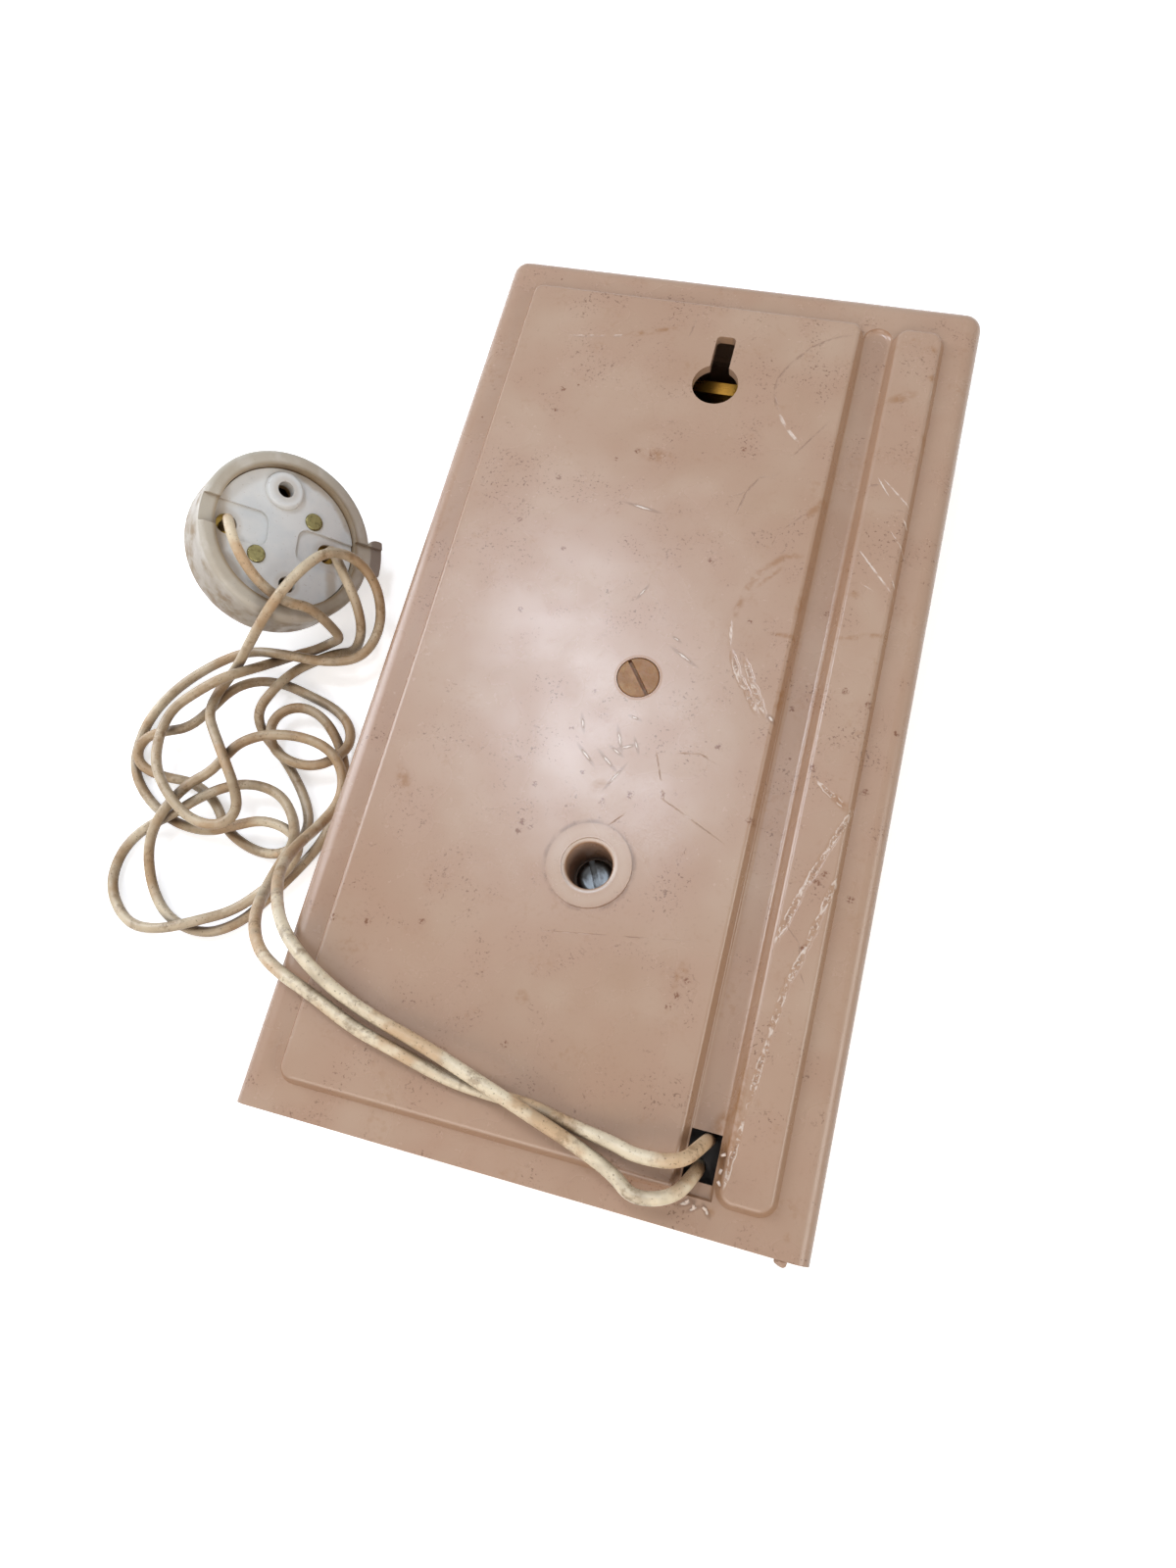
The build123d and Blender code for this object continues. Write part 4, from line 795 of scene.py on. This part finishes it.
# The bell wires' routes in metres, from the terminal block to the bell push
ROUTE_A: tuple[Point, ...] = (
    (0.033, -0.0905, 0.032), (0.033, -0.0905, 0.04), (0.0328, -0.091, 0.047), (0.03, -0.096, 0.052),
    (0.023, -0.098, 0.052), (0.019, -0.095, 0.051), (0.011, -0.092, 0.051), (0.002, -0.089, 0.054),
    (-0.0095, -0.0855, 0.054), (-0.022, -0.082, 0.0515), (-0.033, -0.0795, 0.051),
    (-0.0415, -0.0765, 0.0515), (-0.049, -0.0725, 0.0525), (-0.057, -0.0675, 0.048),
    (-0.064, -0.0615, 0.04), (-0.07, -0.054, 0.031), (-0.072, -0.0465, 0.022), (-0.0715, -0.04, 0.015),
    (-0.07, -0.032, 0.011), (-0.072, -0.0245, 0.0105), (-0.0775, -0.0195, 0.011), (-0.086, -0.018, 0.011),
    (-0.095, -0.0195, 0.011), (-0.1005, -0.023, 0.0115), (-0.1035, -0.027, 0.0105), (-0.107, -0.032, 0.009),
    (-0.112, -0.036, 0.0085), (-0.116, -0.044, 0.0085), (-0.1185, -0.052, 0.0055), (-0.116, -0.0615, 0.002),
    (-0.1085, -0.069, 0.002), (-0.0975, -0.071, 0.002), (-0.089, -0.066, 0.002), (-0.084, -0.058, 0.002),
    (-0.079, -0.0495, 0.002), (-0.075, -0.041, 0.002), (-0.074, -0.0315, 0.002), (-0.075, -0.0225, 0.002),
    (-0.0795, -0.015, 0.003), (-0.085, -0.01, 0.004), (-0.091, -0.0085, 0.005), (-0.096, -0.011, 0.0055),
    (-0.0975, -0.016, 0.006), (-0.0945, -0.0215, 0.006), (-0.089, -0.024, 0.006), (-0.0825, -0.024, 0.006),
    (-0.0775, -0.021, 0.006), (-0.075, -0.016, 0.005), (-0.0775, -0.0105, 0.0035),
    (-0.0835, -0.0065, 0.002), (-0.091, -0.0045, 0.002), (-0.1, -0.0025, 0.002), (-0.107, -0.0035, 0.003),
    (-0.112, -0.008, 0.005), (-0.1155, -0.0155, 0.0055), (-0.119, -0.021, 0.006), (-0.125, -0.023, 0.0055),
    (-0.1295, -0.025, 0.005), (-0.1315, -0.0285, 0.0045), (-0.1305, -0.032, 0.004),
    (-0.127, -0.034, 0.0035), (-0.1215, -0.0345, 0.003), (-0.114, -0.034, 0.0025),
    (-0.1065, -0.0375, 0.002), (-0.1015, -0.044, 0.002), (-0.093, -0.0475, 0.002), (-0.086, -0.0475, 0.002),
    (-0.0815, -0.0445, 0.0025), (-0.0795, -0.04, 0.003), (-0.0805, -0.0355, 0.003),
    (-0.085, -0.0295, 0.0025), (-0.093, -0.022, 0.002), (-0.0995, -0.018, 0.004), (-0.1015, -0.013, 0.0075),
    (-0.099, -0.006, 0.0075), (-0.0975, 0.0005, 0.004), (-0.0935, 0.0055, 0.002), (-0.088, 0.009, 0.002),
    (-0.0825, 0.0095, 0.004), (-0.08, 0.0135, 0.0095), (-0.081, 0.018, 0.015), (-0.0845, 0.023, 0.0188),
    (-0.088, 0.0273, 0.0208), (-0.0908, 0.03, 0.019), (-0.0926, 0.0299, 0.0167), (-0.0948, 0.0298, 0.0144),
)
ROUTE_B: tuple[Point, ...] = (
    (0.034, -0.085, 0.032), (0.034, -0.085, 0.041), (0.033, -0.086, 0.05), (0.03, -0.09, 0.055),
    (0.022, -0.091, 0.053), (0.018, -0.09, 0.051), (0.009, -0.089, 0.05), (0.001, -0.0875, 0.05),
    (-0.0065, -0.0875, 0.05), (-0.0155, -0.087, 0.05), (-0.026, -0.0845, 0.051), (-0.0355, -0.0825, 0.051),
    (-0.0455, -0.0785, 0.051), (-0.054, -0.076, 0.0495), (-0.0625, -0.0725, 0.044),
    (-0.0695, -0.066, 0.036), (-0.073, -0.0595, 0.028), (-0.0755, -0.052, 0.02), (-0.077, -0.045, 0.013),
    (-0.0815, -0.0385, 0.008), (-0.0875, -0.033, 0.006), (-0.0945, -0.0315, 0.006),
    (-0.101, -0.033, 0.0065), (-0.108, -0.0375, 0.0065), (-0.115, -0.044, 0.0053), (-0.1235, -0.049, 0.002),
    (-0.127, -0.0565, 0.002), (-0.126, -0.0655, 0.002), (-0.1175, -0.073, 0.003), (-0.1075, -0.0725, 0.005),
    (-0.0985, -0.068, 0.005), (-0.091, -0.0635, 0.0035), (-0.084, -0.0565, 0.0053),
    (-0.0795, -0.0505, 0.006), (-0.078, -0.0445, 0.007), (-0.0825, -0.041, 0.007), (-0.0905, -0.04, 0.006),
    (-0.097, -0.043, 0.006), (-0.1045, -0.046, 0.004), (-0.1155, -0.0455, 0.0016),
    (-0.1255, -0.041, 0.0016), (-0.1325, -0.034, 0.0016), (-0.134, -0.0245, 0.0016),
    (-0.1325, -0.017, 0.002), (-0.128, -0.0085, 0.002), (-0.12, -0.001, 0.003), (-0.1105, 0.0035, 0.0055),
    (-0.099, 0.0035, 0.008), (-0.087, 0.0035, 0.008), (-0.078, 0.007, 0.0075), (-0.0755, 0.0165, 0.009),
    (-0.0775, 0.0245, 0.015), (-0.0825, 0.028, 0.0215), (-0.0875, 0.0255, 0.0275),
    (-0.0905, 0.0165, 0.0315), (-0.094, 0.007, 0.0315), (-0.1025, 0.002, 0.02), (-0.1103, -0.0033, 0.0088),
    (-0.1135, -0.01, 0.0078), (-0.113, -0.017, 0.0095), (-0.107, -0.023, 0.0128), (-0.1005, -0.03, 0.0143),
    (-0.0965, -0.0355, 0.013), (-0.095, -0.04, 0.0115), (-0.097, -0.044, 0.011), (-0.1025, -0.0455, 0.011),
    (-0.1085, -0.044, 0.0115), (-0.115, -0.0395, 0.012), (-0.1215, -0.033, 0.0105),
    (-0.124, -0.0245, 0.0095), (-0.123, -0.0175, 0.0095), (-0.1165, -0.0125, 0.012),
    (-0.11, -0.0085, 0.0145), (-0.105, -0.003, 0.0105), (-0.1032, 0.0022, 0.0041), (-0.0995, 0.006, 0.002),
    (-0.0945, 0.0085, 0.002), (-0.0895, 0.011, 0.004), (-0.0845, 0.01, 0.0105), (-0.0855, 0.0105, 0.0175),
    (-0.0895, 0.012, 0.0225), (-0.0935, 0.0105, 0.0255), (-0.0985, 0.0115, 0.031), (-0.1025, 0.015, 0.0365),
    (-0.1053, 0.0193, 0.0398), (-0.108, 0.0236, 0.0395), (-0.1103, 0.0248, 0.0353),
    (-0.1132, 0.0246, 0.0323),
)


class Finish(Protocol):
    """What every finish can do."""

    def material(self) -> bpy.types.Material:
        """Make the material."""


def dress(slot: str, finish: Finish, *names: str) -> None:
    """Give CAD nodes one finish.

    Args:
        slot: Name of a slot for the finish; not used.
        finish: The finish.
        names: The nodes.
    """
    material = finish.material()
    for name in names:
        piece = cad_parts[name]
        if not piece.material_slots:
            piece.data.materials.append(material)
        for place in piece.material_slots:
            place.material = material
        LOG.info("dressed %s with %s", name, material.name)


def push_turn(tilt: float = 43.8, turn: float = 3.3) -> Matrix:
    """Rotation of the bell push, whose own +Z points out of its back.

    Args:
        tilt: Lean of its back from upright, in degrees.
        turn: Heading of the lean, in degrees from +X.

    Returns:
        A three by three matrix.
    """
    lean, heading = math.radians(tilt), math.radians(turn)
    up = Vector((math.sin(lean) * math.cos(heading), math.sin(lean) * math.sin(heading), math.cos(lean)))
    right = Vector((0.0, 1.0, 0.0)).cross(up).normalized()
    return Matrix((right, up.cross(right), up)).transposed()


@dataclass
class Case:
    """The chime's case: back with its wear, front cover, cover screw and the slotted nylon screw."""

    nib_place: Point = (0.0503, -0.1017, 0.0449)
    nib_size: Point = (0.0011, 0.0009, 0.0008)
    nib_swell: float = 0.35
    nib_bumps: float = 1.7
    nib_seed: float = 100.0
    curl_places: tuple[Point, ...] = (
        (0.0320, -0.0966, 0.0461), (0.0337, -0.0974, 0.0461), (0.0359, -0.0969, 0.0461),
        (0.0372, -0.0868, 0.0482), (0.0370, -0.0894, 0.0482), (0.0368, -0.0915, 0.0481))
    curl_length: float = 0.0009
    curl_rise: float = 0.75
    curl_bend: float = 2.0
    curl_half_width: float = 0.00028
    curl_taper: float = 0.8
    curl_thickness: float = 0.35
    curl_heading: float = 0.9
    curl_steps: int = 8
    curl_sides: int = 8

    def build(self) -> None:
        """Make the moulding nib on the lower edge and the curls of plastic torn up by the wires."""
        self.build_nib(MouldedStyrene(name="moulded_styrene_nib").material())
        torn = MouldedStyrene(name="moulded_styrene_torn", base="#E6D6C8", pink="#D8C2B4", tan="#C9AA90")
        material = torn.material()
        for number, place in enumerate(self.curl_places, 1):
            self.build_curl(f"torn_curl_{number}", Vector(place), self.curl_heading * number, material)

    def build_nib(self, material: bpy.types.Material) -> None:
        """Make the uneven bead of flashed plastic."""
        form = bmesh.new()
        bmesh.ops.create_icosphere(form, subdivisions=3, radius=1.0)
        place = Vector(self.nib_place)
        for vertex in form.verts:
            swell = 1.0 + self.nib_swell * noise.noise(vertex.co * self.nib_bumps + place * self.nib_seed)
            vertex.co = place + Vector(vertex.co[k] * swell * self.nib_size[k] for k in range(3))
        self.finish(form, "moulding_nib", material)

    def build_curl(self, name: str, foot: Vector, turn: float, material: bpy.types.Material) -> None:
        """Make a thin curl of plastic that stands up from a scratch.

        Args:
            name: Name of the piece.
            foot: Its foot, in metres.
            turn: Its heading, in radians.
            material: Its material.
        """
        form = bmesh.new()
        rings = []
        for step in range(self.curl_steps + 1):
            share = step / self.curl_steps
            bend = self.curl_bend * share
            way = Vector((math.cos(turn) * math.sin(bend), math.sin(turn) * math.sin(bend),
                          self.curl_rise * (1 - math.cos(bend))))
            middle = foot + way * self.curl_length
            half = self.curl_half_width * (1.0 - self.curl_taper * share ** 2)
            across = Vector((-math.sin(turn), math.cos(turn), 0.0)) * half
            rise = Vector((0.0, 0.0, self.curl_thickness * half))
            angles = (math.tau * k / self.curl_sides for k in range(self.curl_sides))
            rings.append([form.verts.new(middle + across * math.cos(angle) + rise * math.sin(angle))
                          for angle in angles])
        for lower, upper in zip(rings, rings[1:]):
            for k in range(self.curl_sides):
                after = (k + 1) % self.curl_sides
                form.faces.new((lower[k], lower[after], upper[after], upper[k]))
        form.faces.new(list(reversed(rings[0])))
        form.faces.new(rings[-1])
        self.finish(form, name, material)

    def finish(self, form: bmesh.types.BMesh, name: str, material: bpy.types.Material) -> None:
        """Turn a form into a smooth piece that rides on the case.

        Args:
            form: The form, which is freed.
            name: Name of the piece.
            material: Its material.
        """
        mesh = bpy.data.meshes.new(name)
        form.to_mesh(mesh)
        form.free()
        mesh.shade_smooth()
        mesh.materials.append(material)
        piece = add_object(name, mesh)
        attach(piece, "case")
        LOG.info("made %s", name)

    def dress(self) -> None:
        """Give the case's nodes their finishes."""
        dress("case_plastic", WornBack(), "back_shell")
        dress("case_plastic", MouldedStyrene(), "front_cover")
        dress("screw_steel", Metal("zinc_plated_steel", "#6F7478", "#3E3A34"), "cover_screw")
        dress("screw_plastic", TanNylon(), "mechanism_screw")


@dataclass
class Mechanism:
    """The works inside: frame, tone bars, solenoid, striker, spring and terminal block."""

    across: Point = (8.0, 0.3, 0.3)
    rolled: Point = (6.0, 0.3, 0.3)
    turned: Point = (0.3, 5.0, 5.0)

    def dress(self) -> None:
        """Give the mechanism's nodes their finishes."""
        dress("frame_plastic", MouldedPart("moulded_polystyrene_white", "#D9D4C8", "#CBC2AE"),
              "mechanism_frame", "coil_bobbin")
        dress("frame_plastic", MouldedPart("moulded_phenolic_brown", "#33241C", "#453026", "#6A5238",
                                           0.42, 1.6, 6.0), "terminal_block")
        dress("bar_metal", Metal("rolled_brass_lacquered", "#B88A3C", "#6B4A14", 0.30, self.across, 5.0),
              "upper_tone_bar", "lower_tone_bar")
        dress("grommet_rubber", MouldedPart("moulded_rubber_black", "#2A2826", "#3A3733", "#6A6258", 0.62),
              "bar_grommets")
        dress("screw_steel", Metal("zinc_plated_steel_small", "#B0AEA8", "#7C7058", 0.30),
              "bar_screws", "yoke_screws")
        dress("screw_steel", Metal("drawn_spring_steel", "#9C9A96", "#6A5A48", 0.26), "return_spring")
        dress("yoke_steel", Metal("rolled_mild_steel_passivated", "#9A978C", "#6C5B3C", 0.38, self.rolled),
              "solenoid_yoke")
        dress("yoke_steel", Metal("turned_soft_iron", "#8E8C88", "#5E5448", 0.32, self.turned),
              "striker_core")
        dress("winding_enamel", EnamelledCopper(), "coil_winding")
        dress("tip_nylon", MouldedPart("moulded_nylon_natural", "#E2DCCB", "#D2C8B0", "#8A7C60",
                                       0.40, 1.53, 5.0), "upper_striker_tip", "lower_striker_tip")
        dress("terminal_brass", Metal("turned_brass", "#B59A50", "#6A5A2C", 0.30), "terminal_screws")
        dress("lead_plastic", MouldedPart("extruded_vinyl_white", "#C9C2AE", "#B5A98C", "#7A6A4C",
                                          0.48, 1.52, 8.0), "coil_leads")


@dataclass
class BellPush:
    """The round bell push, seen from its back: cover, white base, brass screws, contacts and button."""

    centre: Point = (-99.1, 28.4, 26.4)
    turned: Point = (0.3, 3.0, 3.0)
    rolled: Point = (4.0, 0.3, 0.3)

    def dress(self) -> None:
        """Give the bell push's nodes their finishes."""
        turn = push_turn()
        dress("push_plastic", PushCover(self.centre, turn), "push_housing")
        dress("base_plastic", PushBase(self.centre, turn), "push_base")
        dress("terminal_brass", Metal("turned_brass_tarnished", "#938B60", "#4C4630", 0.24, self.turned,
                                      1.6, 0.7), "push_terminal_screws")
        dress("terminal_brass", Metal("rolled_brass_strip", "#B0924C", "#6A5426", 0.34, self.rolled),
              "fixed_contacts", "contact_leaf")
        dress("base_plastic", MouldedPart("moulded_urea_white", "#D6D4CC", "#C6C0B2", "#8A7A5A",
                                          0.34, 1.55, 6.0), "push_button")


@dataclass
class BellWire:
    """One single-core bell wire, from the terminal block to the bell push.

    The line's bevel is one metre, and each point's radius scales it to the wire's own.
    """

    name: str
    node: str
    route: tuple[Point, ...]
    length: float
    diameter: float = 0.0026
    sides: int = 4
    steps: int = 8

    def build(self, vinyl: bpy.types.Material) -> None:
        """Make the wire along its route, as one smooth line.

        Args:
            vinyl: Its material.
        """
        line = bpy.data.curves.new(self.name, "CURVE")
        line.dimensions = "3D"
        line.bevel_depth = 1.0
        line.bevel_resolution = self.sides
        line.resolution_u = self.steps
        line.use_fill_caps = True
        spline = line.splines.new("NURBS")
        spline.points.add(len(self.route) - 1)
        for point, place in zip(spline.points, self.route):
            point.co = (*place, 1.0)
            point.radius = self.diameter / 2
        spline.order_u = 3
        spline.use_endpoint_u = True
        piece = add_object(self.name, line)
        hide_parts(self.node)
        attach(piece, "case")
        line.materials.append(vinyl)
        LOG.info("made %s", self.name)


@dataclass
class Lamp:
    """A soft rectangular lamp that faces the object."""

    name: str
    place: Point
    size: tuple[float, float]
    power: float
    colour: str

    def build(self, target: Point = (0.0, 0.0, 0.04)) -> None:
        """Make the lamp.

        Args:
            target: What it points at, in metres.
        """
        light = bpy.data.lights.new(self.name, "AREA")
        light.shape = "RECTANGLE"
        light.size, light.size_y = self.size
        light.energy = self.power
        light.color = srgb(self.colour)[:3]
        lamp = add_object(self.name, light)
        lamp.location = self.place
        lamp.rotation_euler = (Vector(self.place) - Vector(target)).to_track_quat("Z", "Y").to_euler()


@dataclass
class Studio:
    """Pale floor, soft even light, and the camera at the photograph's angle."""

    camera_place: Point = (0.033866, -0.080777, 0.246123)
    camera_turn: tuple[float, float, float, float] = (0.979624, 0.144991, 0.076117, 0.116279)
    lens: float = 23.85
    film_width: float = 36.0
    near_limit: float = 0.01
    floor_half: float = 2.5
    floor_drop: float = 0.0001
    floor_glow: float = 0.55
    surround: float = 0.26
    lamps: tuple[Lamp, ...] = (
        Lamp("window_lamp", (-0.26, 0.41, 1.18), (0.18, 0.36), 3.9, "#E6F0FF"),
        Lamp("wall_lamp", (-0.90, 0.25, 0.55), (0.4, 0.9), 7.0, "#EEF4FF"),
        Lamp("side_lamp", (1.05, -0.10, 0.50), (0.9, 0.5), 4.8, "#FFFDF8"),
        Lamp("warm_lamp", (-0.1, -1.1, 0.8), (1.0, 1.0), 8.6, "#FFF6EE"))

    def build(self) -> None:
        """Make the floor, the surround, the lamps and the camera."""
        self.build_floor()
        self.build_surround()
        for lamp in self.lamps:
            lamp.build()
        view = bpy.data.cameras.new("camera")
        view.lens = self.lens
        view.sensor_width = self.film_width
        view.clip_start = self.near_limit
        camera = add_object("camera", view)
        camera.location = self.camera_place
        camera.rotation_mode = "QUATERNION"
        camera.rotation_quaternion = Quaternion(self.camera_turn)
        bpy.context.scene.camera = camera
        bpy.context.scene.view_settings.view_transform = "Standard"
        LOG.info("made the studio")

    def seen(self, tree: bpy.types.NodeTree) -> Socket:
        """Factor that is 1 for what the camera, a gloss or glass sees directly.

        Args:
            tree: Node tree of the floor or the surround.

        Returns:
            The factor.
        """
        rays = add_node(tree, "ShaderNodeLightPath").outputs
        gloss = add_node(tree, "ShaderNodeMath",
                         {0: rays["Is Glossy Ray"], 1: rays["Is Transmission Ray"]}, operation="MAXIMUM")
        return add_node(tree, "ShaderNodeMath", {0: rays["Is Camera Ray"], 1: gloss.outputs[0]},
                        operation="MAXIMUM").outputs[0]

    def build_floor(self) -> None:
        """Make the plain floor, which looks pale and keeps the object's shadow."""
        mesh = bpy.data.meshes.new("floor")
        half = self.floor_half
        corners = [(-half, -half, 0), (half, -half, 0), (half, half, 0), (-half, half, 0)]
        mesh.from_pydata(corners, [], [(0, 1, 2, 3)])
        surface = Surface("matt_painted_board", Roughness=0.8, Emission_Color=srgb("#FFFFFF"))
        seen = self.seen(surface.tree)
        colour = surface.layered(srgb("#7E7A75"), ("#FCFCFB", 1.0, seen))
        glow = surface.node("ShaderNodeMath", {0: seen, 1: self.floor_glow}, operation="MULTIPLY")
        surface.feed(Base_Color=colour, Emission_Strength=glow)
        mesh.materials.append(surface.material)
        floor = add_object("floor", mesh)
        floor.location.z = -self.floor_drop

    def build_surround(self) -> None:
        """Make the even surround, which looks white."""
        world = bpy.data.worlds.new("surround")
        world.use_nodes = True
        tree = world.node_tree
        tree.nodes.clear()
        soft = add_node(tree, "ShaderNodeBackground", {0: srgb("#F6F7FA"), 1: self.surround})
        white = add_node(tree, "ShaderNodeBackground", {0: srgb("#FFFFFF"), 1: 1.0})
        mixed = add_node(tree, "ShaderNodeMixShader",
                         {0: self.seen(tree), 1: soft.outputs[0], 2: white.outputs[0]})
        add_node(tree, "ShaderNodeOutputWorld", {"Surface": mixed.outputs[0]})
        bpy.context.scene.world = world


def write_sizes() -> None:
    """Update the view layer, so that every placement is current."""
    bpy.context.view_layer.update()


def main() -> None:
    """Build and dress every sub-assembly in order."""
    logging.basicConfig(level=logging.INFO, format="%(name)s: %(message)s")
    Studio().build()
    vinyl = BellWireVinyl().material()
    BellWire("bell_wire_a", "wire_a", ROUTE_A, 0.640).build(vinyl)
    BellWire("bell_wire_b", "wire_b", ROUTE_B, 0.735).build(vinyl)
    case = Case()
    case.build()
    case.dress()
    Mechanism().dress()
    BellPush().dress()
    write_sizes()


if __name__ == "__main__":
    main()
